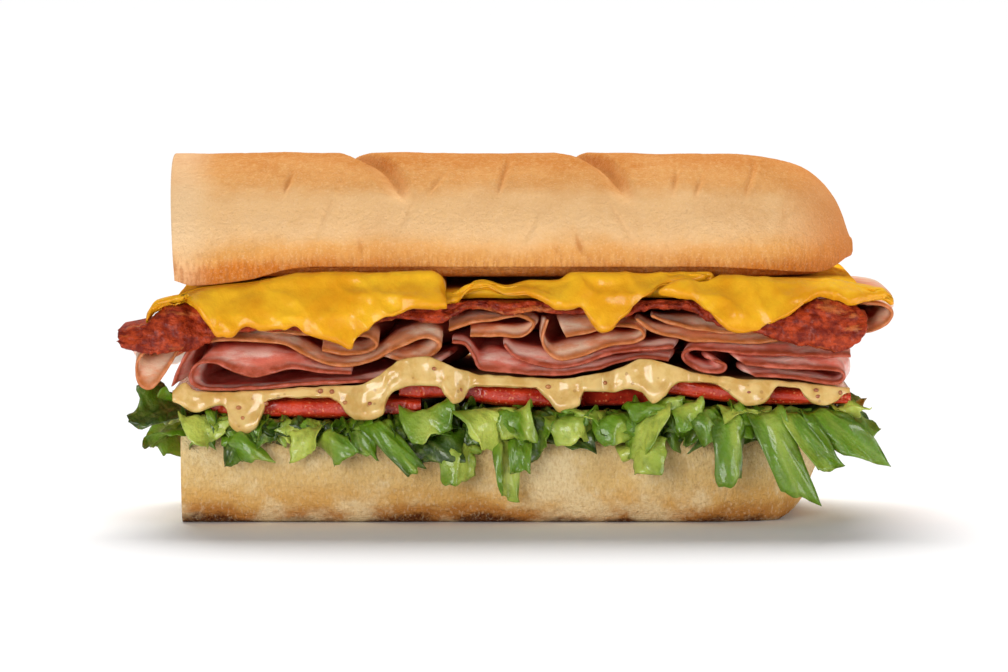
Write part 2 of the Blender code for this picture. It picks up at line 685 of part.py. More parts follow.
def main():
    for obj in list(bpy.data.objects):
        bpy.data.objects.remove(obj, do_unlink=True)
    crust = material("bun_crust", (0.62, 0.30, 0.10), 0.42, 0.2)
    base = material("bun_base", (0.66, 0.40, 0.18), 0.6)
    cheddar = material("cheese", (0.93, 0.50, 0.06), 0.32, 0.15)
    rasher = material("bacon", (0.45, 0.12, 0.06), 0.35, 0.3)
    turkey = material("turkey", (0.86, 0.66, 0.50), 0.45, 0.1)
    ham = material("ham", (0.82, 0.46, 0.38), 0.42, 0.15)
    mustard = material("sauce", (0.90, 0.62, 0.16), 0.2, 0.4)
    flesh = material("tomato", (0.70, 0.10, 0.05), 0.25, 0.3)
    leaves = material("lettuce", (0.30, 0.45, 0.08), 0.45, 0.1)

    loaf("top_bun", 28, 25, top_place, crust)
    loaf("bottom_bun", 20, 24, bottom_place, base)
    cheese(
        "cheese_1",
        straight(-81.8),
        straight(-15.6),
        LEFT_TOP,
        LEFT_HEM,
        CHEESE_LEVEL,
        -39.6,
        -46.2,
        cheddar,
    )
    cheese(
        "cheese_2",
        straight(-26.6),
        lambda t: 44.2 - 5 * smooth((t - 0.55) / 0.45),
        MIDDLE_TOP,
        MIDDLE_HEM,
        UNDER_CHEESE_LEVEL,
        -38.0,
        -43.0,
        cheddar,
    )
    cheese(
        "cheese_3",
        lambda t: 46.2 - 14.5 * smooth((t - 0.5) / 0.5),
        straight(83.6),
        RIGHT_TOP,
        RIGHT_HEM,
        CHEESE_LEVEL,
        -39.6,
        -46.0,
        cheddar,
    )
    bacon("bacon_1", -88.5, 77.8, FRONT_LEVEL, FRONT_LOW, FRONT_REACH, -22, False, rasher)
    back_level = ((-80, 45.5), (-74, BACON_LEVEL), (66, BACON_LEVEL), (74, 47.4))
    back_low = tuple((-80 + 11 * i, 44.6 + 1.9 * math.sin(1.7 * i)) for i in range(16))
    back_reach = ((-80, -39.4), (80, -39.4))
    bacon("bacon_2", -78, 72, back_level, back_low, back_reach, -22, True, rasher)
    seed = 20
    for kinds, mat in ((TURKEY, turkey), (HAM, ham)):
        for name, (front, back, points) in kinds.items():
            seed += 1
            folded(name, front, back, points, seed, mat)
    sauce("sauce", mustard)
    for name, sizes in TOMATO.items():
        tomato(name, *sizes, flesh)
    lettuce("lettuce", leaves)


main()
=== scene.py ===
# %% [markdown]
# # A filled half roll, piece by piece
# The real sandwich is half of a long soft roll, laid open and stacked: lettuce on the bottom bun,
# then tomato, mustard sauce, folded ham and turkey, bacon, melted cheese and the top bun. The CAD
# model already holds one solid for each of these. This lesson gives every one its real surface.
#
# Each solid is replaced by a finer mesh of the same form, because food is all soft edges, and soft
# edges need more points than a solid should carry. Lengths are written in millimetres and turned
# into metres when a mesh is made.

import math
import random

import bmesh
import bpy
import numpy as np
from mathutils import Matrix, Vector


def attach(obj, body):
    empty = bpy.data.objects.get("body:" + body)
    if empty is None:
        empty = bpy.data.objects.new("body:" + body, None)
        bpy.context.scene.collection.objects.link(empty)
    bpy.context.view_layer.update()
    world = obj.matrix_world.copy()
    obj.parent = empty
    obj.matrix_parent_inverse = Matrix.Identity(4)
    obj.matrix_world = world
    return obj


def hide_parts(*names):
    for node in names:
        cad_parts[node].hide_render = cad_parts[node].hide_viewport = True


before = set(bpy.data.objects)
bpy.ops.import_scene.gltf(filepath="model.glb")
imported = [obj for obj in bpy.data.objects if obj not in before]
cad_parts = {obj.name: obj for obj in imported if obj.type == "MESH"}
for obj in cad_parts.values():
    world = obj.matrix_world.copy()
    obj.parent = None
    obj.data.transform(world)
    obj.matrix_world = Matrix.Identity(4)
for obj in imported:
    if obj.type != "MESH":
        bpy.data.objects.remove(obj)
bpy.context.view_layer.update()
MM = 0.001

# %% [markdown]
# ## Small helpers for shapes
# Every piece below is a function of two numbers, u along it and v across it. The helpers here ease
# a value in and out, read a height from a short table, draw a smooth line through a few points and
# add the soft unevenness that all food has. They work on whole arrays at once, so a fine mesh of a
# hundred thousand points takes a moment and not a minute.


# %% Easing, tables and lines
def smooth(value):
    value = np.clip(value, 0.0, 1.0)
    return value * value * (3 - 2 * value)


def along(table, x, soft=False):
    """Height at x from a short table of (x, height) pairs, straight or rounded between them."""
    xs = np.array([p[0] for p in table], float)
    zs = np.array([p[1] for p in table], float)
    if not soft:
        return np.interp(x, xs, zs)
    gap = np.diff(xs)
    slope = np.diff(zs) / gap
    product = slope[:-1] * slope[1:]
    lean = np.where(product > 0, 2 * product / np.where(product > 0, slope[:-1] + slope[1:], 1), 0)
    lean = np.concatenate([slope[:1], lean, slope[-1:]])
    k = np.clip(np.searchsorted(xs, x) - 1, 0, len(xs) - 2)
    t = np.clip((x - xs[k]) / gap[k], 0, 1)
    start, end = (1 + 2 * t) * (1 - t) ** 2 * zs[k], t * t * (3 - 2 * t) * zs[k + 1]
    return start + end + gap[k] * (t * (1 - t) ** 2 * lean[k] - t * t * (1 - t) * lean[k + 1])


def bent(p, q, r, s, t):
    """A smooth curve from q to r that leaves from p's side and heads for s."""
    square, cube = 2 * p - 5 * q + 4 * r - s, 3 * q - p - 3 * r + s
    return 0.5 * (2 * q + (r - p) * t + square * t**2 + cube * t**3)


def line_through(points, pieces):
    """Evenly spaced points of a smooth line through the given ones."""
    given = np.array(points, float)
    before = np.vstack([given[:1], given[:-1]])
    after = np.vstack([given[1:], given[-1:]])
    beyond = np.vstack([given[2:], given[-1:], given[-1:]])
    t = np.linspace(0, 1, 16, endpoint=False)[:, None]
    fine = []
    for p, q, r, s in zip(before[:-1], given[:-1], after[:-1], beyond[:-1]):
        fine.append(bent(p, q, r, s, t))
    fine = np.vstack(fine + [given[-1:]])
    step = np.linalg.norm(np.diff(fine[:, :2], axis=0), axis=1)
    run = np.concatenate([[0], np.cumsum(step)])
    even = np.linspace(0, run[-1], pieces + 1)
    return np.stack([np.interp(even, run, fine[:, k]) for k in range(fine.shape[1])], axis=1), run[-1]


# %% Soft unevenness
SCATTER = (374761393, 668265263, 1440662683)  # large odd numbers that scatter the cells of the noise
SEED_STEP, LAST_MIX = 974711, 1274126177


def uneven(x, y, z=0.0, seed=0):
    """Smooth noise from about -1 to 1 over arrays of places."""
    x, y, z = np.broadcast_arrays(np.asarray(x, float), np.asarray(y, float), np.asarray(z, float))
    cell = [np.floor(a).astype(np.int64) for a in (x, y, z)]
    part = [smooth(a - c) for a, c in zip((x, y, z), cell)]

    def corner(i, j, k):
        h = sum((c + step) * odd for c, step, odd in zip(cell, (i, j, k), SCATTER)) + seed * SEED_STEP
        h = ((h ^ (h >> 13)) * LAST_MIX) & 0xFFFFFFFF
        return ((h ^ (h >> 16)) & 0xFFFF) / 32767.5 - 1.0

    total = 0.0
    for i in (0, 1):
        for j in (0, 1):
            for k in (0, 1):
                sides = (share if far else 1 - share for share, far in zip(part, (i, j, k)))
                total = total + math.prod(sides) * corner(i, j, k)
    return total


def crumpled(x, y, z=0.0, seed=0, layers=3):
    """Unevenness at several sizes, each half as large and half as deep."""
    total = 0.0
    for k in range(layers):
        total = total + uneven(x * 2**k, y * 2**k, np.asarray(z) * 2**k, seed + 17 * k) / 2**k
    return total / 1.6


def drift(x, y, z):
    """The filling lies a little differently towards the back of the roll."""
    part = smooth(y / 42)
    middle = np.sin(np.pi * np.clip((z - 22) / 30, 0, 1))
    return x + 2.2 * part * middle, y, z + 0.8 * part * middle * np.sin(x / 13)


# %% Lines across a piece
NEAR = 0.02  # the step that a direction is measured over


def across_line(points, t):
    """Places and directions on smooth (y, z) lines, one line for each point of the piece.

    points is a list of (y, z) arrays and t counts them: 0 is the first, 1 the second.
    """
    size = np.shape(t)
    rows = np.stack([np.stack(
        [np.broadcast_to(a, size) for a in p], axis=-1,
    ) for p in points]).astype(float)
    last = len(points) - 1

    def at(t):
        span = np.clip(np.floor(t).astype(int), 0, last - 1)
        part = (t - span)[..., None]
        pick = np.arange(size[0])
        p, q, r, s = (rows[np.clip(span + k, 0, last), pick] for k in (-1, 0, 1, 2))
        return bent(p, q, r, s, part)

    here = at(t)
    step = at(np.minimum(t + NEAR, last)) - at(np.maximum(t - NEAR, 0))
    speed = np.linalg.norm(step, axis=-1) + 1e-9
    turn = step / speed[..., None]
    return here[..., 0], here[..., 1], turn[..., 0], turn[..., 1], speed / (2 * NEAR)


def rim(distance, radius):
    """Half-round edge: 1 inside a slice, falling like a quarter circle at its edge."""
    part = np.clip(distance / radius, 0, 1)
    return np.maximum(np.sqrt(1 - (1 - part) ** 2), 0.12)


# %% [markdown]
# ## From a flat grid to a closed piece
# A slice of anything is a plate: two faces a little apart, joined round the rim. `plate` starts from
# Blender's own grid, extrudes it once so that it is closed, and then sends every point to its place.
# The same trick closes a loaf: a grid rolled into a tube, whose seam and ends are merged.
#
# A number that a finish needs, such as how far a point is from the edge of a slice, is stored on
# the mesh as an attribute, so the material can follow the shape however it bends.


# %% Closed pieces from grids
def send(mesh, place, notes):
    """Moves each point of a grid to its place in the piece, and stores the notes."""
    start = np.zeros(len(mesh.vertices) * 3, np.float32)
    mesh.vertices.foreach_get("co", start)
    start = start.reshape(-1, 3).astype(float)
    number = np.round(start[:, 0] / 2).astype(int)
    found = place(
        number, start[:, 0] - 2 * number + 0.5, start[:, 1] + 0.5,
        np.where(start[:, 2] > 0.5, 1.0, -1.0),
    )
    spots = np.stack(np.broadcast_arrays(*found[:3]), axis=1) * MM
    mesh.vertices.foreach_set("co", spots.astype(np.float32).ravel())
    for label, values in zip(notes, found[3:]):
        note = mesh.attributes.new(label, "FLOAT", "POINT")
        note.data.foreach_set("value", np.broadcast_to(values, len(spots)).astype(np.float32).ravel())


def settle(obj, weld=0.0):
    """Seams merged, faces outwards, smooth shading."""
    bm = bmesh.new()
    bm.from_mesh(obj.data)
    if weld:
        bmesh.ops.remove_doubles(bm, verts=bm.verts, dist=weld)
    bmesh.ops.recalc_face_normals(bm, faces=bm.faces)
    bm.to_mesh(obj.data)
    bm.free()
    obj.data.shade_smooth()
    return obj


def new_object(name, bm):
    mesh = bpy.data.meshes.new(name)
    bm.to_mesh(mesh)
    bm.free()
    obj = bpy.data.objects.new(name, mesh)
    bpy.context.scene.collection.objects.link(obj)
    return obj


def plates(name, count, columns, rows, place, notes=()):
    """Many closed plates in one mesh: place(number, u, v, side) gives each point."""
    bm = bmesh.new()
    for number in range(count):
        spot = Matrix.Translation((2 * number, 0, 0))
        bmesh.ops.create_grid(bm, x_segments=columns, y_segments=rows, size=0.5, matrix=spot)
    grown = bmesh.ops.extrude_face_region(bm, geom=bm.faces[:], use_keep_orig=True)
    upper = [part for part in grown["geom"] if isinstance(part, bmesh.types.BMVert)]
    bmesh.ops.translate(bm, vec=(0, 0, 1), verts=upper)
    obj = new_object(name, bm)
    send(obj.data, place, notes)
    return settle(obj)


def plate(name, columns, rows, place, notes=()):
    return plates(name, 1, columns, rows, lambda number, u, v, side: place(u, v, side), notes)


SEAM = 0.99999  # from here on v has gone once round and meets its start


def loaf(name, columns, rows, place, notes=()):
    """A closed tube along X: place(u, v) gives each point, v once round, ends shrunk to a point."""
    bm = bmesh.new()
    bmesh.ops.create_grid(bm, x_segments=columns, y_segments=rows, size=0.5)
    obj = new_object(name, bm)
    send(obj.data, lambda number, u, v, side: place(u, np.where(v > SEAM, 0.0, v)), notes)
    return settle(obj, weld=1e-6)


def with_ends(u, left, right):
    """The run along a loaf's side, and how far each ring is shrunk towards its end's middle."""
    run = np.clip((u - left) / (1 - left - right), 0, 1)
    shrink = np.minimum(np.clip(u / left, 0, 1), np.clip((1 - u) / right, 0, 1))
    return run, shrink


def relief(obj, height):
    """Raises each point along its normal by height(x, y, z, normal) millimetres.

    How deep a point sank is stored as the note `hollow`, so that a finish can paint shade into it."""
    mesh = obj.data
    count = len(mesh.vertices)
    spots, normals = np.zeros(count * 3, np.float32), np.zeros(count * 3, np.float32)
    mesh.vertices.foreach_get("co", spots)
    mesh.vertex_normals.foreach_get("vector", normals)
    spots, normals = spots.reshape(-1, 3).astype(float), normals.reshape(-1, 3).astype(float)
    x, y, z = (spots / MM).T
    raised = height(x, y, z, normals.T)
    spots += normals * (raised * MM)[:, None]
    mesh.vertices.foreach_set("co", spots.astype(np.float32).ravel())
    sunk = mesh.attributes.new("hollow", "FLOAT", "POINT")
    sunk.data.foreach_set("value", np.maximum(-raised, 0).astype(np.float32))
    mesh.update()
    return obj


def dress(obj, finish, slot, *nodes):
    """Gives a piece its finish and its body, and hides the solids that it stands for; slot is not used."""
    obj.data.materials.append(finish)
    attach(obj, "root")
    if nodes:
        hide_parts(*nodes)
    print(f"{obj.name}: {len(obj.data.polygons)} faces")
    return obj


# %% [markdown]
# ## Finishes from a few shared effects
# Bread, meat and leaves are never one flat colour. Four effects do most of the work and are built
# once as node groups: soft blotches, small dots such as pores or seeds, fine relief for the bump, and
# the hidden middle of the roll, which is dull and painted darker as shade. All read Object
# coordinates, so a pattern keeps its real size on every piece.


# %% Short ways to add nodes
def put(tree, kind, sockets, **settings):
    """Adds a node; a socket is given a number, a colour or another node's output."""
    made = tree.nodes.new("ShaderNode" + kind)
    for key, value in settings.items():
        setattr(made, key, value)
    for key, value in sockets.items():
        if isinstance(value, bpy.types.NodeSocket):
            tree.links.new(value, made.inputs[key])
        else:
            made.inputs[key].default_value = value
    return made


def calculate(tree, operation, first, second=0.0, third=0.0):
    return put(tree, "Math", {0: first, 1: second, 2: third}, operation=operation).outputs[0]


def blend(tree, amount, low, high, mode="MIX"):
    """Colour between low and high; colours are written as three numbers."""
    low, high = ((*c, 1) if isinstance(c, tuple) else c for c in (low, high))
    return put(tree, "Mix", {0: amount, 6: low, 7: high}, data_type="RGBA", blend_type=mode).outputs[2]


def ease(tree, value, start, end):
    """0 before start, 1 after end, softly between."""
    sockets = {"Value": value, "From Min": start, "From Max": end}
    return put(tree, "MapRange", sockets, interpolation_type="SMOOTHSTEP").outputs[0]


def tinted(tree, colour, mask, strength, tone):
    """The colour, drawn towards a tone where the mask is bright."""
    return blend(tree, calculate(tree, "MULTIPLY", mask, strength), colour, tone)


def note(tree, label):
    return put(tree, "Attribute", {}, attribute_name=label).outputs["Fac"]


def coordinate(tree, spot, k):
    return put(tree, "SeparateXYZ", {0: spot}).outputs[k]


def stretched(tree, spot, scale):
    """Coordinates whose patterns come out longer where the scale is below 1."""
    return put(tree, "Mapping", {"Vector": spot, "Scale": scale}).outputs[0]


def group(name, wants, gives):
    """An empty node group with its named inputs and outputs."""
    tree = bpy.data.node_groups.new(name, "ShaderNodeTree")
    for label, kind, start in wants:
        socket = tree.interface.new_socket(label, in_out="INPUT", socket_type="NodeSocket" + kind)
        if start is not None:
            socket.default_value = start
    for label, kind in gives:
        tree.interface.new_socket(label, in_out="OUTPUT", socket_type="NodeSocket" + kind)
    return tree, tree.nodes.new("NodeGroupInput"), tree.nodes.new("NodeGroupOutput")


# %% Effect: blotches
blotches, way_in, way_out = group(
    "blotches",
    [("Vector", "Vector", None), ("Scale", "Float", 100.0), ("From", "Float", 0.4), ("To", "Float", 0.6)],
    [("Mask", "Float")],
)
cloud = put(
    blotches, "TexNoise",
    {
        "Vector": way_in.outputs["Vector"], "Scale": way_in.outputs["Scale"], "Detail": 4.0,
        "Roughness": 0.6,
    },
)
mask = ease(blotches, cloud.outputs[0], way_in.outputs["From"], way_in.outputs["To"])
blotches.links.new(mask, way_out.inputs["Mask"])

# %% Effect: dots
dots, way_in, way_out = group(
    "dots",
    [("Vector", "Vector", None), ("Scale", "Float", 300.0), ("Size", "Float", 0.3), ("Share", "Float", 0.5)],
    [("Mask", "Float")],
)
cells = put(dots, "TexVoronoi", {"Vector": way_in.outputs["Vector"], "Scale": way_in.outputs["Scale"]})
spot = calculate(dots, "DIVIDE", cells.outputs["Distance"], way_in.outputs["Size"])
spot = calculate(dots, "SUBTRACT", 1.0, ease(dots, spot, 0.6, 1.0))
tint = put(dots, "SeparateColor", {0: cells.outputs["Color"]}).outputs[0]
kept = calculate(dots, "LESS_THAN", tint, way_in.outputs["Share"])
dots.links.new(calculate(dots, "MULTIPLY", spot, kept), way_out.inputs["Mask"])

# %% Effect: fine relief
fine_relief, way_in, way_out = group(
    "fine_relief",
    [("Vector", "Vector", None), ("Coarse", "Float", 300.0), ("Fine", "Float", 1500.0)],
    [("Height", "Float")],
)
wide = put(
    fine_relief, "TexNoise",
    {"Vector": way_in.outputs["Vector"], "Scale": way_in.outputs["Coarse"], "Detail": 3.0},
)
small = put(
    fine_relief, "TexNoise",
    {"Vector": way_in.outputs["Vector"], "Scale": way_in.outputs["Fine"], "Detail": 2.0},
)
height = calculate(
    fine_relief, "ADD", wide.outputs[0], calculate(fine_relief, "MULTIPLY", small.outputs[0], 0.45),
)
fine_relief.links.new(height, way_out.inputs["Height"])


# %% Effect: the hidden middle
# Between other layers nothing is wet or shiny, and deeper in the roll everything gets painted shade: its
# colour is darkened.
NEAR_END = 0.070  # metres from the middle of the roll to where the dulling stops
hidden, way_in, way_out = group(
    "hidden_middle",
    [("Vector", "Vector", None), ("Ends", "Float", NEAR_END)],
    [("Dull", "Float"), ("Painted_Shade", "Float")],
)
place = put(hidden, "SeparateXYZ", {0: way_in.outputs["Vector"]})
along_it, across = (calculate(hidden, "ABSOLUTE", place.outputs[k]) for k in (0, 1))
from_end = calculate(hidden, "SUBTRACT", NEAR_END, along_it)
dull_end = calculate(hidden, "SUBTRACT", way_in.outputs["Ends"], along_it)
for label, end, start, reach in (("Dull", dull_end, 0.039, 0.005), ("Painted_Shade", from_end, 0.034, 0.010)):
    deep = calculate(hidden, "MINIMUM", end, calculate(hidden, "SUBTRACT", start, across))
    hidden.links.new(ease(hidden, deep, 0.0, reach), way_out.inputs[label])


# %% The start and end of every finish
def begin(name):
    """A material, its tree, its shader and its Object coordinates."""
    finish = bpy.data.materials.new(name)
    finish.use_nodes = True
    tree = finish.node_tree
    spot = put(tree, "TexCoord", {}).outputs["Object"]
    return finish, tree, tree.nodes["Principled BSDF"], spot


def effect(tree, kind, spot, **values):
    made = tree.nodes.new("ShaderNodeGroup")
    made.node_tree = kind
    tree.links.new(spot, made.inputs["Vector"])
    for key, value in values.items():
        made.inputs[key].default_value = value
    return made.outputs[0]


def patches(tree, spot, scale, start, end):
    """Soft blotches: 0 where the noise is below start, 1 where it is above end."""
    return effect(tree, blotches, spot, Scale=scale, From=start, To=end)


def specks(tree, spot, scale, size, share):
    """Small dots of the given size in a share of the cells."""
    return effect(tree, dots, spot, Scale=scale, Size=size, Share=share)


def complete(tree, shader, colour, rough, spot, coarse, fine, depth, **values):
    """Joins colour, roughness and bump; the rest goes on the shader's own sockets."""
    if "Coat_Weight" in values:
        dull = effect(tree, hidden, spot, Ends=values.pop("ends", NEAR_END))
        # Painted shade: deep inside the roll the colour is darkened towards a dark red.
        dark = calculate(tree, "MULTIPLY", dull.node.outputs["Painted_Shade"], 0.85)
        colour = blend(tree, dark, colour, blend(tree, 1.0, colour, (0.5, 0.16, 0.12), "MULTIPLY"))
        coat = calculate(
            tree, "MULTIPLY", calculate(tree, "SUBTRACT", 1.0, dull), values.pop("Coat_Weight"),
        )
        tree.links.new(coat, shader.inputs["Coat Weight"])
        rough = calculate(tree, "MAXIMUM", rough, dull)
    tree.links.new(colour, shader.inputs["Base Color"])
    if isinstance(rough, bpy.types.NodeSocket):
        tree.links.new(rough, shader.inputs["Roughness"])
    else:
        shader.inputs["Roughness"].default_value = rough
    height = effect(tree, fine_relief, spot, Coarse=coarse, Fine=fine)
    bump = put(tree, "Bump", {"Height": height, "Strength": 1.0, "Distance": depth * MM})
    tree.links.new(bump.outputs[0], shader.inputs["Normal"])
    for key, value in values.items():
        shader.inputs[key.replace("_", " ")].default_value = value


print("effects:", [tree.name for tree in bpy.data.node_groups])

# %% [markdown]
# ## The top bun
# Half of a baked roll: a domed crust, straight along the roll and rounding off at the right end,
# with a cut face on the left. It could be sculpted, but its section hardly changes, so it is a tube
# of rings along X. Two slanted dips across the crown are the scores that the baker cut before
# baking. The crust is lumpy, finely wrinkled near its lower rim and marked by short grooves, which
# `relief` presses into the mesh. Its note `hollow` later lets the finish paint shade into them.


# %% Shape of the top bun
BUN_LEFT, BUN_LENGTH = -76, 152
CUT_SHARE = 0.17  # share of v that crosses the cut underside
# Where each crease crosses the middle of the crown, and how deep it is.
CREASES, CREASE_SLANT = ((-33.6, 2.6), (16.2, 2.6)), 0.29
# Short grooves in the front of the crust: place along it, height, length, slant and depth.
GROOVES = (
    (-55.8, 79, 2.5, 0.4, 0.5), (-51, 76.2, 3, 0.4, 0.7), (-39, 76.9, 2.2, 0.0, 0.5),
    (-42.7, 68.9, 6, 0.45, 0.35), (-2.9, 77.3, 4, 0.35, 0.8), (-18.4, 75.5, 3, 0.8, 0.4),
    (-58.7, 62, 5, 0.05, 0.4), (-68, 63, 3, 0.1, 0.35), (-34.6, 61.5, 3, -0.1, 0.4),
    (-24, 70, 4, 0.5, 0.3), (35.5, 76.4, 3.4, 0.2, 0.6), (40.5, 75, 3, 0.4, 0.5),
    (52.4, 76.4, 4, 0.4, 0.6), (14.2, 62, 5, -0.3, 0.7), (9, 60.5, 3, -0.3, 0.5),
    (22.7, 68.7, 6, -0.6, 0.45), (60, 69, 3, 0.4, 0.4), (29, 61, 3, 0.1, 0.35), (48, 62, 4, -0.1, 0.35),
    (3, 66, 5, 0.5, 0.3),
)
CROWN = (
    (-76, 81.4), (48, 81.4), (54, 81), (60, 80), (65, 78.4), (69, 75.8), (72.5, 71.8), (74.6, 67),
    (76, 63),
)
RIM = (
    (-76, 54.6), (-72, 53.5), (-60, 54.7), (-50, 57.2), (-44, 57.7), (42, 57.7), (56, 56.9), (68, 56),
    (76, 59.2),
)


def plan(x, centre, reach, depth, power):
    """Half depth of a bun: straight, then rounding off towards its right end."""
    part = np.clip((x - centre) / reach, 0, 1)
    return depth * np.maximum(1 - part**power, 0) ** (1 / 2.2)


def top_bun(u, v):
    run, shrink = with_ends(u, 0.1, 0.05)
    x = BUN_LEFT + BUN_LENGTH * (1 - (1 - run) ** 1.35)
    depth = plan(x, 42, 34.6, 38, 2.3)
    crown = along(CROWN, x, True) + 0.25 * uneven(x / 17, 0, 0, 1)
    low = along(RIM, x, True)
    inner = np.minimum(low, 55.3 + 3 * smooth((x - 66) / 10))
    under, cut_depth = v < CUT_SHARE, depth * 0.955
    flat = cut_depth * np.cos(np.pi * v / CUT_SHARE)
    flat_z = low + (inner - low) * smooth((cut_depth - np.abs(flat)) / 4.5)
    angle = np.pi * np.clip((v - CUT_SHARE) / (1 - CUT_SHARE), 0, 1)
    side, rise = np.cos(angle), np.sin(angle)
    y = depth * np.sign(side) * np.abs(side) ** 0.82
    z = low + (crown - low) * np.abs(rise) ** 0.86
    y = y * (1 - 0.045 * (1 - smooth((z - low) / 6)))
    for centre, deep in CREASES:
        off = x - centre - CREASE_SLANT * y
        valley = 1 - smooth(np.where(off < 0, -off / 6.5, off / 2.6))
        z = z - deep * valley * smooth((z - 69) / 9)
    y, z = np.where(under, flat, -y), np.where(under, flat_z, z)
    slant = 1.4 * (z - low) / 24 * (1 - run) ** 8  # the cut leans a little
    middle = (low + crown) / 2
    bulge = np.where(run < 0.5, 1.0, 0.6) * np.sqrt(1 - np.clip(shrink, 0, 1) ** 4)
    y, z = y * shrink, middle + (z - middle) * shrink
    tuft = 0.5 * crumpled(y / 2.6, z / 2.6, 0, 9, 2) * (shrink < 0.97)
    x = x - slant * shrink + np.where(run < 0.5, tuft + 0.5 * (shrink < 0.97), bulge)
    # Crumb only from 6 mm in from the rim: the underside next to the rim keeps the dark crust colour as
    # painted shade under the bun.
    inside = under & (np.abs(flat) < cut_depth - 6) & (shrink > 0.999)
    cut = np.where(run < 0.5, 1 - smooth((shrink - 0.97) / 0.02), 0)
    return x, y, z, cut + inside


def top_crust(x, y, z, normal):
    lumps = 0.32 * crumpled(x / 13, y / 9, z / 9, 3)
    out = smooth((z - 58) / 4) * smooth((np.abs(normal[1]) + normal[2]) * 2)
    wrinkles = -0.4 * np.abs(uneven(x / 1.5, y / 5, z / 7, 21)) * smooth((68 - z) / 8)
    skin = 0.07 * crumpled(x / 1.1, y / 1.1, z / 1.1, 5)
    hollow = 0.0
    for centre, _ in CREASES:
        off = x - centre + CREASE_SLANT * y
        hollow = hollow - 0.9 * np.exp(-((off / 0.8) ** 2)) * smooth((z - 71) / 6)
    for at, level, length, slant, deep in GROOVES:
        across, along_it = x - at - slant * (z - level), (z - level) / length
        lip, dip = np.exp(-((across - 1.3) ** 2)), np.exp(-((across / 0.7) ** 2))
        hollow = hollow + deep * (0.5 * lip - dip) * np.exp(-(along_it**2)) * (y < 0)
    edge = smooth((x + 75) / 2)
    return (np.minimum(lumps, 0.25) - 0.1 + wrinkles + skin + hollow) * out * edge


bun = relief(loaf("top_bun_crust", 440, 210, top_bun, ("crumb",)), top_crust)

# %% [markdown]
# ## Bread finishes
# A crust is darkest where the oven heat reached it first, on the crown and along the lower rim, and
# pale between them, so its colour follows the height. Object coordinates carry the height. Where the
# knife cut the bread, the stored `crumb` note turns the same material into pale crumb. Next to the
# rim, the cut underside of the top bun gets no `crumb` note and keeps the dark rim colour: painted
# shade under the bun.


# %% Finish of the top crust
def height_bands(tree, spot, stops):
    """Colour by height in millimetres, softly from stop to stop."""
    shift = calculate(tree, "MULTIPLY_ADD", patches(tree, spot, 70.0, 0.2, 0.8), 0.004, -0.002)
    level = calculate(tree, "ADD", coordinate(tree, spot, 2), shift)
    colour = stops[0][1]
    for (low, _), (high, tone) in zip(stops, stops[1:]):
        colour = blend(tree, ease(tree, level, low * MM, high * MM), colour, tone)
    return colour


def crumb_tone(tree, spot):
    """Pale crumb with small open pores."""
    open_pores = specks(tree, spot, 560.0, 0.42, 0.5)
    open_pores = calculate(tree, "MULTIPLY", open_pores, patches(tree, spot, 240.0, 0.35, 0.65))
    pale_crumb = blend(
        tree, patches(tree, spot, 300.0, 0.35, 0.7), (0.80, 0.62, 0.36), (0.90, 0.75, 0.50),
    )
    return tinted(tree, pale_crumb, open_pores, 0.5, (0.56, 0.38, 0.18))


crust, tree, shader, spot = begin("soft_golden_crust")
colour = height_bands(
    tree, spot,
    (
        (56, (0.62, 0.19, 0.02)), (60, (0.72, 0.34, 0.09)), (66, (0.81, 0.50, 0.24)),
        (72, (0.86, 0.52, 0.24)), (77, (0.73, 0.34, 0.105)), (81.5, (0.61, 0.22, 0.042)),
    ),
)
fibres = stretched(tree, spot, (1, 0.4, 0.4))
colour = tinted(tree, colour, patches(tree, fibres, 900.0, 0.42, 0.75), 0.35, (0.84, 0.50, 0.20))
colour = tinted(tree, colour, patches(tree, spot, 45.0, 0.45, 0.7), 0.35, (0.55, 0.22, 0.05))
right_end = ease(tree, coordinate(tree, spot, 0), 0.055, 0.076)
colour = tinted(tree, colour, right_end, 0.85, (0.70, 0.23, 0.045))
left_end = ease(tree, coordinate(tree, spot, 0), -0.066, -0.075)
colour = tinted(tree, colour, left_end, 0.5, (0.90, 0.64, 0.38))
torn = patches(tree, stretched(tree, spot, (1, 0.4, 0.2)), 1300.0, 0.4, 0.65)
near_rim = ease(tree, coordinate(tree, spot, 2), 0.0625, 0.0568)
colour = tinted(tree, colour, calculate(tree, "MULTIPLY", torn, near_rim), 0.55, (0.42, 0.12, 0.02))
pores = specks(tree, spot, 900.0, 0.3, 0.25)
colour = tinted(tree, colour, pores, 0.12, (0.42, 0.15, 0.03))
colour = tinted(tree, colour, patches(tree, spot, 2200.0, 0.5, 0.7), 0.22, (0.95, 0.70, 0.44))
# Painted shade in the grooves, creases and wrinkles that relief pressed into the crust.
colour = tinted(tree, colour, ease(tree, note(tree, "hollow"), 0.25, 1.0), 0.65, (0.48, 0.17, 0.035))
colour = blend(tree, note(tree, "crumb"), colour, crumb_tone(tree, spot))
rough = calculate(tree, "MULTIPLY_ADD", patches(tree, spot, 180.0, 0.3, 0.7), 0.14, 0.55)
complete(tree, shader, colour, rough, spot, 900.0, 2600.0, 0.35, Specular_IOR_Level=0.06)
dress(bun, crust, "bun_crust", "top_bun")

# %% [markdown]
# ## The bottom bun
# The lower half is shallow, with a flat base that stood on the oven plate. Its side carries soft
# vertical streaks, pale patches where neighbouring rolls touched, and a browned, pimply lower edge.


# %% Shape and finish of the bottom bun
BASE_TOP = 19.9  # height of the cut face
CUT, REST = 0.2, 0.16  # shares of the section: the cut face, and half of the flat underside


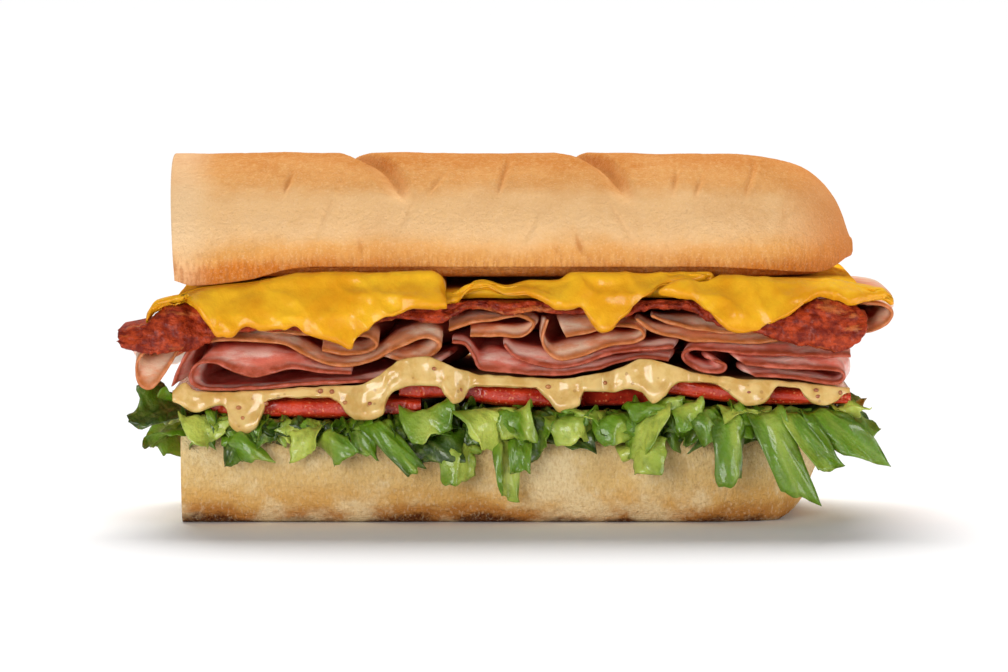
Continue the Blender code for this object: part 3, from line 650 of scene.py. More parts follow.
def bottom_bun(u, v):
    run, shrink = with_ends(u, 0.08, 0.05)
    x = -74.7 + 145.7 * (1 - (1 - run) ** 1.3)
    depth = plan(x, 38, 33.4, 37.6, 2.4)
    low = along(((59, 0), (63, 2.6), (67.6, 10.4), (71, 17.5)), x, True)
    part = (v - CUT) / (1 - CUT)
    inner = v < CUT
    flat = depth * 0.97 * np.cos(np.pi * v / CUT)
    flat_z = BASE_TOP - 0.5 * smooth((depth * 0.97 - np.abs(flat)) / 4)
    under = np.abs(part - 0.5) < REST
    base = depth * 0.74 * (part - 0.5) / REST
    climb = np.clip((np.abs(part - 0.5) - REST) / (0.5 - REST), 0, 1)
    angle = climb * np.pi
    y = depth * (0.74 + 0.26 * np.sin(np.minimum(angle * 0.62, np.pi / 2)) ** 0.8)
    y = (y - depth * 0.03 * smooth((climb - 0.7) / 0.3)) * np.sign(part - 0.5)
    z = low + (BASE_TOP - low) * (1 - np.cos(angle)) / 2
    y, z = np.where(under, base, y), np.where(under, low, z)
    y, z = np.where(inner, flat, y), np.where(inner, flat_z, z)
    middle = (BASE_TOP + low) / 2
    y, z = y * shrink, middle + (z - middle) * shrink
    cut = (run < 0.5) & (shrink < 0.97)
    x = x + np.where(cut, 0.3 + 0.5 * crumpled(y / 2.6, z / 2.6, 0, 19, 2), 0)
    return x, y, z, cut + inner


def base_crust(x, y, z, normal):
    side = smooth((1 - np.abs(normal[2])) * 3) * smooth(z / 2) * smooth((x + 73.5) / 2)
    lumps = 0.4 * crumpled(x / 9, y / 14, z / 6, 31)
    streaks = -0.4 * np.abs(uneven(x / 1.7, y / 5, z / 6, 33)) * smooth((z - 5) / 5)
    pimples = 0.32 * np.maximum(crumpled(x / 1.0, y / 1.0, z / 0.9, 35), 0) * smooth((8 - z) / 4)
    skin = 0.13 * crumpled(x / 1.2, y / 1.2, z / 1.2, 37)
    return (np.minimum(lumps, 0.25) - 0.12 + streaks + pimples + skin) * side


base = relief(loaf("bottom_bun_crust", 400, 200, bottom_bun, ("crumb",)), base_crust)
base_finish, tree, shader, spot = begin("mottled_base_crust")
colour = height_bands(
    tree, spot,
    (
        (0.3, (0.10, 0.02, 0.004)), (2.0, (0.48, 0.19, 0.04)), (5.5, (0.76, 0.43, 0.13)),
        (10, (0.82, 0.55, 0.22)), (15, (0.80, 0.58, 0.27)), (20, (0.70, 0.48, 0.2)),
    ),
)
fibres = stretched(tree, spot, (1, 0.6, 0.45))
colour = tinted(tree, colour, patches(tree, spot, 75.0, 0.45, 0.65), 0.75, (0.92, 0.74, 0.44))
colour = tinted(tree, colour, patches(tree, fibres, 2000.0, 0.4, 0.7), 0.4, (0.50, 0.25, 0.07))
colour = tinted(tree, colour, patches(tree, fibres, 1600.0, 0.5, 0.72), 0.32, (0.95, 0.80, 0.54))
# Painted shade in the streaks and grooves that relief pressed into the base.
colour = tinted(tree, colour, ease(tree, note(tree, "hollow"), 0.25, 0.9), 0.5, (0.50, 0.26, 0.08))
colour = blend(tree, note(tree, "crumb"), colour, crumb_tone(tree, spot))
complete(tree, shader, colour, 0.75, spot, 900.0, 2600.0, 0.6, Specular_IOR_Level=0.05)
dress(base, base_finish, "bun_base", "bottom_bun")

# %% [markdown]
# ## The melted cheese
# Three thin slices lie under the top bun, reach over the filling and hang down in front in soft
# tongues. A slice is a plate bent over a line from back to front, so its hem can follow a short
# table of heights. Cloth simulation would hang it too evenly: melted cheese slumps where the heat
# reached it. Its edge is rounded, because nothing that has melted keeps a sharp edge.


# %% Cheese edges
LEFT_TOP = (
    (-82, 48.1), (-79.6, 50.5), (-74.4, 51.5), (-70, 52.9), (-57, 54.3), (-52.4, 55.6), (-48, 56.7),
    (-19, 56.9), (-16.7, 55.8), (-15.3, 53.4),
)
LEFT_HEM = (
    (-81.8, 45.3), (-80.4, 47.8), (-76.7, 49.0), (-74.9, 50.2), (-72.7, 49.3), (-70, 47.8), (-68, 45.3),
    (-65.8, 42.4), (-63.6, 42.5), (-59.1, 44.4), (-52.7, 44.0), (-49.1, 44.4), (-46.7, 42.7),
    (-43.1, 41.8), (-39.6, 41.1), (-36.4, 39.7), (-34.7, 42), (-32.2, 44), (-28.7, 46.2), (-25.1, 47.6),
    (-21.8, 48.7), (-15.3, 49.1),
)
MIDDLE_TOP = (
    (-27, 52.4), (-15.3, 52.4), (-12.9, 52.8), (-10.9, 54), (-7.3, 55.1), (-2.2, 53.9), (3, 55.1),
    (9.1, 55.1), (12.4, 56.4), (45, 56.8),
)
MIDDLE_HEM = (
    (-27, 49.1), (-15.1, 49.1), (-11.3, 51.1), (-8.4, 53), (-6.7, 53), (-4.7, 52), (-2.2, 50.9),
    (1.6, 51.1), (5.6, 50.4), (9.1, 48.7), (13.8, 48.7), (15.6, 47.1), (17.6, 44.4), (19.1, 43.0),
    (20.7, 43.6), (23.1, 45.8), (27.1, 49.1), (29.6, 51.3), (34, 53.6), (45, 54),
)
RIGHT_TOP = (
    (27, 56.4), (45.3, 56.2), (54.2, 55.6), (63, 55.3), (71, 54.9), (74.2, 54.2), (77.8, 53.6),
    (81.3, 52.9), (83.8, 51.5),
)
RIGHT_HEM = (
    (27, 52.7), (32, 52.2), (36, 51.3), (38.4, 50.7), (41.1, 48.4), (45.3, 45.1), (46.9, 43.8),
    (49.3, 43.1), (53.3, 43.1), (55.6, 44.4), (60.2, 47.1), (63.6, 49.1), (65.8, 50.8), (67.3, 51.2),
    (70.7, 50.9), (73.6, 49.6), (77.8, 50.6), (82, 50.9), (83.8, 50.2),
)


# %% Cheese shape
def side_edge(side, v):
    """Where a side edge of a slice lies: its x, how far it moves, from which v and over how much."""
    x, move, start, stretch = side
    return x + move * smooth((v - start) / stretch)


def cheese(name, left_side, right_side, top, hem, level, shoulder, hang, seed):
    def place(u, v, side):
        v = 1 - (1 - v) ** 1.5
        left, right = side_edge(left_side, v), side_edge(right_side, v)
        x = left + (right - left) * u
        crest = np.minimum(along(top, x, True) - 1.0, 56.1)
        inner = np.minimum(level, crest + 0.2)
        low = along(hem, x, True) + 0.4 + 0.15 * uneven(x / 2.5, 0, 0, seed)
        fall = np.maximum(crest - low, 0.8)
        reach = shoulder - 1.2 - (shoulder - 1.2 - hang) * smooth(fall / 4)
        behind = level - 47.9
        points = [
            (40.3 + behind + 0 * x, inner - 4.6 - 1.6 * uneven(x / 14, 1, 0, seed)),
            (38.6 + behind + 0 * x, inner - 1.2),
            (35.5 + 0 * x, inner),
            (-30.5 + 0 * x, inner),
            (-34.6 + 0 * x, (inner + crest) / 2),
            (shoulder + 0 * x, crest),
            (shoulder + 0.35 * (reach - shoulder), crest - 0.22 * fall),
            (shoulder + 0.8 * (reach - shoulder), crest - 0.58 * fall),
            (reach, low),
        ]
        spans = len(points) - 1
        y, z, run, rise, speed = across_line(points, v * spans)
        edge = np.minimum((1 - v) * spans * speed, np.minimum(u, 1 - u) * (right - left))
        half = side * rim(edge + 0.04, 1.1)
        fat = 0.22 * smooth((v - 0.8) / 0.2) * (side > 0)
        y = y + 0.4 * uneven(x / 8, 3, 0, seed) * smooth((np.abs(y) - 36) / 6)
        return (*drift(x, y + (half + fat) * rise, z - (half + fat) * run), edge)

    def slump(x, y, z, normal):
        front = smooth((-36 - y) / 5)
        soft = 0.9 * crumpled(x / 7, z / 5, y / 9, seed, 2)
        soft = soft + 0.2 * crumpled(x / 1.8, z / 2.2, y / 3, seed + 5)
        soft = soft + 0.9 * (0.25 - np.abs(uneven(x / 6 + z / 9, z / 4.5, 0, seed + 9)))
        return soft * front + 0.12 * crumpled(x / 4, y / 4, z / 4, seed + 2) * (1 - front)

    return relief(plate(name, 230, 64, place, ("edge",)), slump)


cheddar, tree, shader, spot = begin("melted_cheese")
colour = blend(tree, patches(tree, spot, 90.0, 0.3, 0.7), (0.76, 0.32, 0.005), (0.92, 0.50, 0.016))
thin = calculate(tree, "SUBTRACT", 1.0, ease(tree, note(tree, "edge"), 0.2, 2.2))
colour = tinted(tree, colour, thin, 0.5, (0.70, 0.24, 0.003))
rough = calculate(tree, "MULTIPLY_ADD", patches(tree, spot, 150.0, 0.35, 0.65), 0.16, 0.29)
complete(
    tree, shader, colour, rough, spot, 500.0, 2000.0, 0.12, ends=0.12, Coat_Weight=0.3,
    Coat_Roughness=0.15, Specular_IOR_Level=0.15, Subsurface_Weight=0.1, Subsurface_Scale=0.002,
)

FIXED = (0, 0, 1)  # a side that doesn't move
# Name, left side, right side, top line, hem, level inside, shoulder, hang and seed of the noise.
SLICES = (
    (
        "cheese_left", (-75.6, -6.2, 0.4, 0.25), (-15.6, *FIXED), LEFT_TOP, LEFT_HEM,
        53.9, -39.6, -46.2, 41,
    ),
    (
        "cheese_middle", (-26.6, *FIXED), (44.2, -5, 0.55, 0.45), MIDDLE_TOP, MIDDLE_HEM,
        51.5, -38, -43, 43,
    ),
    (
        "cheese_right", (46.2, -14.5, 0.5, 0.5), (76.4, 7.2, 0.4, 0.25), RIGHT_TOP, RIGHT_HEM,
        53.9, -39.6, -46, 47,
    ),
)
for number, sizes in enumerate(SLICES, 1):
    dress(cheese(*sizes), cheddar, "cheese", f"cheese_{number}")


# %% [markdown]
# ## The bacon
# Fried bacon is a crisp, buckled strip: bubbles in the lean, smooth pale streaks of fat along it.
# Two strips lie across the meat and hang over its front and back edge. The buckling is in the mesh,
# since it shows in the outline, and the streaks are stretched along the strip. Where a point lies
# across the strip is stored as the note `width`.

# %% Bacon shape
FRONT_LOW = (
    (-88.5, 41.6), (-86, 39.6), (-80, 38.9), (-73, 39.2), (-69, 40.2), (-66.5, 42.4), (-60, 43.6),
    (-37, 43.8), (-26.4, 45.9), (-21.8, 45.6), (-16.9, 45.3), (-14.9, 46.2), (-11.8, 48.4),
    (-8.2, 49.9), (-4.7, 48), (-2.4, 46.9), (0.4, 47.3), (3.8, 48.4), (6.7, 47.8), (9.8, 47.1),
    (16, 47.2), (21, 45.6), (27.6, 48.4), (30.9, 49.4), (34.7, 50), (37.3, 49.6), (39.3, 48.4),
    (41.1, 46.7), (43.6, 45.1), (46, 44.2), (50, 43.8), (55, 42.6), (59, 41.1), (64, 40.4),
    (67.3, 39.8), (70.7, 38.9), (74.9, 40.7), (76.7, 42.2), (78, 45.6),
)
FRONT_LEVEL = ((-88.5, 43.4), (-81.5, 45), (-78, 48.2), (-72, 49.3), (64, 49.3), (70, 47.3), (78, 46.8))
FRONT_CREST = (
    (-88.5, 43.4), (-82, 45.2), (-79.4, 48.0), (-75.5, 49.6), (-72, 49.5), (62, 49.6), (66.5, 51.6),
    (70.5, 51.8), (74, 50.4), (76, 49), (78, 46.8),
)
FRONT_REACH = (
    (-88.5, -45.4), (-75, -45), (-70.5, -42.4), (-34, -42), (-28, -39.9), (30, -40), (48, -42.2),
    (56, -44.2), (78, -44.6),
)


def bacon(name, columns, left, right, level, crest, low, reach, mirror, seed):
    def place(u, v, side):
        x = left + (right - left) * u
        high = along(level, x, True)
        ridge = along(crest, x, True)
        drop = np.maximum(ridge - along(low, x, True), 0.3)
        edge = along(reach, x, True)
        points = [
            (-22 + 0 * x, high),
            (-36.5 + 0 * x, high),
            ((edge - 36.5) / 2 - 1.2, ridge - 0.12 * drop),
            (edge + 0.9, ridge - 0.38 * drop),
            (edge, ridge - 0.7 * drop),
            (edge, ridge - drop + 0.2),
        ]
        spans = len(points) - 1
        y, z, run, rise, speed = across_line(points, v * spans)
        y = y - 0.4 * uneven(x / 6, 2, 0, seed) * v
        border = np.minimum(np.minimum(v, 1 - v) * spans * speed, np.minimum(u, 1 - u) * (right - left))
        half = side * 0.9 * rim(border + 0.05, 0.9)
        y, z = y + half * rise, z - half * run
        if mirror:
            x, y = -x - 4, -y
            return (*drift(x, y, z), v)
        return x, y, z, v

    def crisp(x, y, z, normal):
        shown = smooth((np.abs(y) - 37) / 2)
        bubbles = 0.55 * crumpled(x / 1.9, z / 1.5, y / 2.4, seed, 3)
        bubbles = bubbles + 0.25 * np.abs(uneven(x / 0.8, z / 0.8, 0, seed + 2))
        furrows = -0.4 * np.abs(uneven(x / 4, (z + 0.15 * x) / 0.9, 0, seed + 4))
        return (bubbles + furrows) * shown

    return relief(plate(name, columns, 40, place, ("width",)), crisp)


rasher, tree, shader, spot = begin("fried_bacon")
lean = blend(tree, patches(tree, spot, 420.0, 0.35, 0.65), (0.18, 0.013, 0.004), (0.50, 0.060, 0.014))
fat = patches(tree, stretched(tree, spot, (0.25, 1, 1)), 330.0, 0.56, 0.66)
colour = tinted(tree, lean, fat, 0.6, (0.66, 0.20, 0.05))
furrow = patches(tree, stretched(tree, spot, (0.3, 1, 1)), 1100.0, 0.45, 0.65)
colour = tinted(tree, colour, furrow, 0.55, (0.13, 0.008, 0.003))
rough = calculate(tree, "MULTIPLY_ADD", patches(tree, spot, 600.0, 0.3, 0.7), 0.25, 0.28)
complete(
    tree, shader, colour, rough, spot, 900.0, 3000.0, 0.4, Coat_Weight=0.1, Coat_Roughness=0.15,
    Specular_IOR_Level=0.15,
)
front_rasher = bacon(
    "bacon_front", 620, -88.3, 77.6, FRONT_LEVEL, FRONT_CREST, FRONT_LOW, FRONT_REACH, False, 51,
)
BACK_LEVEL = ((-80, 45.5), (-74, 49.3), (66, 49.3), (74, 47.4))
BACK_LOW = tuple((-80 + 11 * i, 44.6 + 1.9 * math.sin(1.7 * i)) for i in range(16))
back_rasher = bacon(
    "bacon_back", 420, -78, 72, BACK_LEVEL, BACK_LEVEL, BACK_LOW, ((-80, -39.4), (80, -39.4)), True, 53,
)
dress(front_rasher, rasher, "bacon", "bacon_1")
dress(back_rasher, rasher, "bacon", "bacon_2")

# %% [markdown]
# ## The folded meats
# Turkey and ham are laid on in folds. Seen from the front, each slice is a winding rind line with
# its pale face rising behind it. So a slice is one line in the front plane, swept to the back, and
# every point of the line says how far the slice rises inside the roll. The faces climb steeply
# right behind the rind, which is what makes the real stack look full.

# %% The lines of the slices: front, back and (x, height, rise inside, shift inside)
TURKEY = {
    "turkey_1": (-41.0, 40, (
        (-73.8, 42.0, 0, 0), (-75.6, 38.4, 2, 0), (-78, 34.4, 4.2, 0), (-81.1, 30.9, 6.6, 0),
        (-83.8, 32.4, 5.6, 0.4), (-84.2, 36.4, 2.8, 0.4), (-82.4, 39.1, 1, 0), (-79.6, 40.5, 0.6, 0),
    )),
    "turkey_2": (-40.8, 38.2, (
        (-68.4, 41.3, 3, 0), (-61.3, 41.6, 3, 0), (-52.2, 40.9, 2.6, 0), (-46.7, 38.4, 2.2, 0),
        (-41.8, 36.4, 1.4, 0), (-36.9, 35.8, 1.4, 0), (-32, 36.9, 1.8, 0), (-26.2, 40, 2.8, 0),
        (-20.4, 42.2, 2.6, 0), (-16.9, 40.6, 2.6, 0), (-19, 37.9, 2.4, -2), (-23.3, 37, 2.4, -5),
        (-26, 37.2, 2.6, -9),
    )),
    "turkey_3": (-40.4, 38, (
        (-56.4, 43.6, 3, 0), (-48, 42.9, 3, 0), (-39.1, 42.2, 2.8, 0), (-33.5, 42.4, 2.8, 0),
        (-30.9, 40.5, 2.6, 0), (-33.5, 38.7, 2.2, 0), (-38, 38.4, 2, 0), (-43.1, 39.3, 2, 0),
    )),
    "turkey_4": (-38.6, 38.2, (
        (-14.9, 43.6, 3, 0), (-9.8, 45.3, 2, 0), (-4.4, 46, 1.1, 0), (0.7, 46.9, 0.2, 0.8),
        (3.8, 45.1, 0.8, 0.8), (1.1, 42.2, 2, 0), (-4, 42.4, 2, 0), (-10.2, 42.4, 2, 0),
    )),
    "turkey_5": (-38.8, 38.2, (
        (7.1, 46, 0.6, -1), (5.8, 41.6, 1, 0), (7.3, 38.4, 2, 0), (10.4, 37, 3.4, 0),
        (15.6, 38.4, 3, 0), (20.7, 40.2, 2.4, 0), (26, 40.9, 1.8, 0), (28.4, 42.4, 1.4, 0),
        (26.7, 44.2, 1.6, 0), (21.3, 44.4, 2.6, 0), (16.4, 43.2, 3.6, 0), (11.1, 42.2, 4, -2),
    )),
    "turkey_6": (-39.6, 38.2, (
        (26.6, 46.2, 0.4, 0), (30.9, 43.5, 1.2, 0), (37.6, 41.7, 2.4, 0), (45.3, 41.2, 2.6, 0),
        (51.6, 40.9, 2.6, 0), (60.9, 42, 2.4, 0), (70.9, 42.9, 1.6, 0), (78.2, 43.4, 1.6, 0),
        (82, 44.9, 2.4, -0.6), (83.5, 47.3, 1.2, -0.6), (81.8, 49.2, 0.3, 0), (77.8, 49.9, 0, 0),
        (71.6, 49.9, 0, 0),
    )),
    "turkey_7": (-40.0, 38, (
        (30, 47, 0, 0), (33.8, 45.4, 1, 0), (40.9, 43.9, 2.4, 0), (49.8, 43.2, 3, 0),
        (58.7, 44.2, 2.6, 0),
    )),
}
HAM = {
    "ham_1": (-41.6, 41, (
        (-71.4, 41.4, 0, 1), (-73.3, 38.4, 1.5, 2), (-75.2, 34.9, 2.6, 3), (-76.5, 31.3, 2.5, 3.5),
    )),
    "ham_2": (-42.8, 42, (
        (-20.4, 34.9, 4, 7), (-27.6, 33.3, 2, 3), (-35.8, 32.4, 0.4, 0.5), (-45.8, 32.2, 0, 0),
        (-56.4, 31.3, 0, 0), (-66.9, 30.9, 0, 0), (-71.6, 32, 0.6, 1.5), (-72.3, 34.4, 2, 3),
        (-70.3, 36.6, 2.6, 3), (-67, 36.7, 3.2, 2), (-62.2, 34.8, 5, 0.5), (-58.2, 33.8, 5.8, 0),
        (-53.6, 34.7, 4.8, 0), (-48.7, 35.6, 2.6, 0), (-42.4, 34.6, 1.3, 0), (-36.4, 34.2, 1, 0),
    )),
    "ham_3": (-41.8, 42, (
        (-14.2, 41.2, 0.6, 0), (-11.3, 40.9, 0.6, 0), (-9.3, 38, 1.5, 0), (-8, 35.5, 3.2, 0),
        (-4.2, 34.7, 4.5, 0), (3.1, 34.2, 2.6, 0), (10.2, 34, 1.8, 0), (18.2, 35.4, 1.4, 0),
        (27.6, 37.6, 0.8, 0), (33.8, 36.9, 1.8, 1.6),
    )),
    "ham_4": (-40.6, 40, (
        (-2.7, 40.4, 1.4, 0), (-0.4, 38, 2.2, 0), (4, 36.3, 3.2, 0), (10.4, 35.5, 2.4, 0),
        (16.4, 36.9, 1.6, 0), (21.3, 38.5, 1.6, 0), (28, 39.3, 1.4, 0), (34.7, 40, 1.2, 1.6),
    )),
    "ham_5": (-41.4, 41, (
        (74.2, 38, 2.4, 0), (63.1, 38.2, 2.6, 0), (52, 38.6, 2.4, 0), (43.6, 39.5, 1.4, 0),
        (38.7, 39.6, 1, 1.2), (36.9, 38, 0.8, 1.2), (38.2, 36.2, 1.2, 0.8), (42, 34.8, 1.6, -1.5),
        (45.6, 34.6, 1.6, -2.6), (46.6, 36, 1.4, -3), (44.4, 37, 1.4, -3),
    )),
    "ham_6": (-42.6, 42, (
        (50.9, 36.4, 2.4, -4), (57.6, 35.8, 2.6, -1.5), (66.4, 35.3, 2.8, 0), (71.6, 34.7, 2, 0),
        (72.7, 33.2, 1, 0), (70.7, 32, 0.8, 0), (65.8, 32.7, 1.2, 0), (59.8, 33.6, 1.4, -1.5),
        (53.1, 33.8, 1.6, -4),
    )),
}
# Where the sauce lies in front of the meat, the slices stand this far back.
TUCK = ((-37, 0), (-32, 2.2), (-14, 2.2), (-11, 0), (19, 0), (23, 1.8), (37, 1.8), (40, 0))
print("turkey slices:", len(TURKEY), "ham slices:", len(HAM))


# %% Slice shape
STEPS = 400  # points on the line of a slice


def folded(name, front, back, points, seed):
    line, length = line_through(points, STEPS)
    columns = int(np.clip(length * 3.2, 60, 300))
    number = np.arange(STEPS + 1)

    def place(u, v, side):
        steps = [np.clip(u * STEPS + shift, 0, STEPS) for shift in (0, 3, -3)]
        here, ahead, past = ([np.interp(step, number, line[:, k]) for k in range(4)] for step in steps)
        x, z, lift, lean = here
        start = front + along(TUCK, x) * smooth((40 - z) / 1.5)
        behind = np.interp(v, (0.5, 0.66, 0.86, 1), (front + 8, -26, back - 9, back))
        y = np.where(v < 0.5, start + 16 * v, behind)
        inward = np.minimum(y - start, back - y)
        rise = 1 - (1 - np.clip(inward / 10, 0, 1)) ** 2
        run = ahead[0] - past[0] + rise * (ahead[3] - past[3])
        climb = ahead[1] - past[1] + rise * (ahead[2] - past[2])
        size = np.hypot(run, climb) + 1e-9
        from_side = np.minimum(u, 1 - u) * length
        border = np.minimum(inward, from_side)
        pressed = 1.8 * smooth((inward - 13) / 7) * smooth(from_side / 4)
        half = side * (0.38 + 0.2 * smooth(inward / 6) + pressed) * rim(border + 0.06, 0.4)
        ragged = 0.5 * uneven(x / 7, z / 9, 0, seed) + 0.4 * uneven(x / 2.6, z / 3, 0, seed + 3)
        y = y + np.where(v < 0.45, 0.8, -0.8) * (ragged + 0.4) * smooth(1 - inward / 9)
        wave = 0.16 * uneven(x / 3, y / 5, 0, seed + 7)
        middle = np.where(y < 2, smooth((y + 31) / 33), smooth((back - y) / (back - 2)))
        settled = 1 - smooth((y - 2) / (back - 2))
        window = smooth((x + 84) / 16) * smooth((75 - x) / 12)
        rise = np.where(y > 2, np.minimum(rise, settled), rise)
        x = x + lean * rise + 6.5 * middle * window - half * climb / size
        return (*drift(x, y, z + lift * rise + half * run / size + wave), inward)

    def dimpled(x, y, z, normal):
        shown = smooth((np.abs(y) - 26) / 6)
        dimples = 0.22 * crumpled(x / 4, z / 4, y / 4, seed + 11, 2)
        return (dimples + 0.07 * crumpled(x / 1.2, z / 1.2, y / 1.4, seed + 12)) * shown

    return relief(plate(name, columns, 34, place, ("inward",)), dimpled)


# %% [markdown]
# ## Meat finishes
# Both meats share one recipe: a browned rind in the first millimetre or two, then moist pale flesh
# with soft stains and fine grain. The stored `inward` note measures from the cut rind, and blotches
# push the border in and out so that it doesn't look drawn. Further in, inside the folds, the flesh
# is darkened as painted shade, less so near the ends of the roll.


# %% Meat
def meat(name, rind, warm, pale, stain, band, rough):
    finish, tree, shader, spot = begin(name)
    uneven_by = patches(tree, spot, 160.0, 0.2, 0.8)
    inward = calculate(tree, "ADD", note(tree, "inward"), calculate(tree, "MULTIPLY", uneven_by, 0.7))
    grain = stretched(tree, spot, (0.5, 0.5, 1.6))
    flesh = blend(tree, patches(tree, grain, 190.0, 0.36, 0.62), warm, pale)
    flesh = tinted(tree, flesh, patches(tree, grain, 420.0, 0.5, 0.72), 0.6, stain)
    skin = blend(tree, patches(tree, spot, 380.0, 0.4, 0.7), rind, warm)
    skin = blend(tree, 0.45, rind, skin)
    colour = blend(tree, ease(tree, inward, band, band + 2.2), skin, flesh)
    # Painted shade: the flesh deeper inside the folds is darkened, less near the ends of the roll.
    shaded = blend(tree, 1.0, colour, (0.66, 0.18, 0.11), "MULTIPLY")
    from_middle = calculate(tree, "ABSOLUTE", coordinate(tree, spot, 0))
    within = calculate(tree, "MULTIPLY_ADD", ease(tree, from_middle, 0.066, 0.074), -0.7, 0.85)
    shade = calculate(tree, "MULTIPLY", ease(tree, inward, 3.4, 9.0), within)
    colour = blend(tree, shade, colour, shaded)
    complete(
        tree, shader, colour, rough, spot, 800.0, 2600.0, 0.12, Coat_Weight=0.15, Coat_Roughness=0.2,
        Specular_IOR_Level=0.3, Subsurface_Weight=0.12, Subsurface_Scale=0.003,
    )
    return finish


turkey_meat = meat(
    "sliced_turkey",
    (0.50, 0.15, 0.035), (0.92, 0.38, 0.18), (1.0, 0.74, 0.54), (0.88, 0.34, 0.15), 0.5, 0.33,
)
ham_meat = meat(
    "sliced_ham",
    (0.36, 0.062, 0.024), (0.88, 0.24, 0.16), (1.0, 0.68, 0.58), (0.76, 0.17, 0.12), 0.7, 0.3,
)
seed = 60
for lines, finish, kind in ((TURKEY, turkey_meat, "turkey"), (HAM, ham_meat, "ham")):
    for number, (node_name, (front, back, points)) in enumerate(lines.items(), 1):
        seed += 11
        dress(folded(f"{kind}_slice_{number}", front, back, points, seed), finish, kind, node_name)


# %% [markdown]
# ## The tomato
# Four slices lie end to end along the roll, and their cut faces show in front: smooth red flesh and
# wet gel with darker hollows. Each is a tube along X with a rounded box for its section, so that the
# front face has enough points for its hollows.

# %% Tomato slices: left, right, front, back, top line, bottom line
TOMATO = {
    "tomato_1": (
        -72.6, -21.2, -38.5, 33,
        ((-73, 29.3), (-60, 29.0), (-32, 29.0), (-27, 28.9), (-21, 28.2)),
        ((-73, 25.4), (-64, 24.2), (-56, 23.6), (-41, 23.3), (-28, 24), (-21, 25.4)),
    ),
    "tomato_2": (
        -26.0, 13.6, -38.5, 35,
        ((-26, 32.2), (-20, 32.8), (-15, 32.8), (-9, 32.3), (1, 31.8), (14, 31)),
        ((-26, 28.6), (-23.5, 28.2), (-20.5, 27.8), (-15.6, 28), (-10.7, 27.1), (1, 25.8), (14, 25.8)),
    ),
    "tomato_3": (14.6, 32.2, -34.0, 30, ((14, 30.8), (33, 31.2)), ((14, 25.8), (33, 25.9))),
    "tomato_4": (
        33.2, 74.4, -38.5, 34,
        ((33, 33.6), (38, 33.2), (42, 32.5), (46, 32.1), (53, 31.6), (66, 30.9), (75, 29.9)),
        ((33, 29.1), (38, 28.2), (44, 27.3), (50, 26.7), (61, 26.4), (66, 26.6), (75, 26.9)),
    ),
}


def tomato(name, left, right, front, back, top, bottom, seed):
    middle, reach = (left + right) / 2, (right - left) / 2

    def place(u, v):
        run, shrink = with_ends(u, 0.06, 0.06)
        x = middle + reach * np.sin(np.pi * (run - 0.5))
        round_off = np.sqrt(np.maximum(0, 1 - np.abs((x - middle) / reach) ** 2.6))
        depth = (back - front) * (0.34 + 0.66 * round_off)
        high, low = along(top, x, True), along(bottom, x, True)
        half, centre = (high - low) / 2, (high + low) / 2
        angle = 2 * np.pi * v
        across = np.sign(np.cos(angle)) * np.abs(np.cos(angle)) ** 0.35
        up = np.sign(np.sin(angle)) * np.abs(np.sin(angle)) ** 0.5
        y = front + depth / 2 - across * depth / 2
        z = centre + up * half * (1 - 0.25 * smooth((y - front) / depth * 4 - 3))
        shown = smooth((across - 0.97) / 0.02)
        y = front + depth / 2 + (y - front - depth / 2) * shrink
        z = centre + (z - centre) * shrink
        return (*drift(x, y, z), shown)

    def flesh(x, y, z, normal):
        cut = smooth(-normal[1] * 2 - 0.6)
        gel = -0.5 * smooth(uneven(x / 4.5, z / 3, 0, seed) * 3 - 0.4)
        return cut * (gel + 0.12 * crumpled(x / 1.3, z / 1.3, 0, seed + 1))

    return relief(loaf(name, 170, 110, place, ("cut",)), flesh)


ripe, tree, shader, spot = begin("tomato_flesh")
colour = blend(tree, patches(tree, spot, 150.0, 0.35, 0.65), (0.42, 0.016, 0.005), (0.70, 0.055, 0.015))
pulp = specks(tree, spot, 1300.0, 0.4, 0.4)
colour = tinted(tree, colour, pulp, 0.45, (0.95, 0.36, 0.14))
colour = blend(tree, patches(tree, spot, 95.0, 0.60, 0.70), colour, (0.20, 0.012, 0.008))
complete(
    tree, shader, colour, 0.22, spot, 1200.0, 3000.0, 0.3, Coat_Weight=0.5, Coat_Roughness=0.05,
    Specular_IOR_Level=0.3, Subsurface_Weight=0.1, Subsurface_Scale=0.002,
)
for number, (node_name, sizes) in enumerate(TOMATO.items(), 1):
    dress(tomato(f"tomato_slice_{number}", *sizes, 200 + 7 * number), ripe, "tomato", node_name)


# %% [markdown]
# ## The mustard sauce
# A pale yellow blanket lies over the tomato and runs down its front in round drips, each thicker at
# its foot, where the sauce gathers. The hem is a table of heights, and the thickness grows towards
# it. Mustard seeds lie in it: about twenty small flattened grains, half sunk. Ten have a given place
# and the rest are drawn at random from a fixed seed, so that they never move.

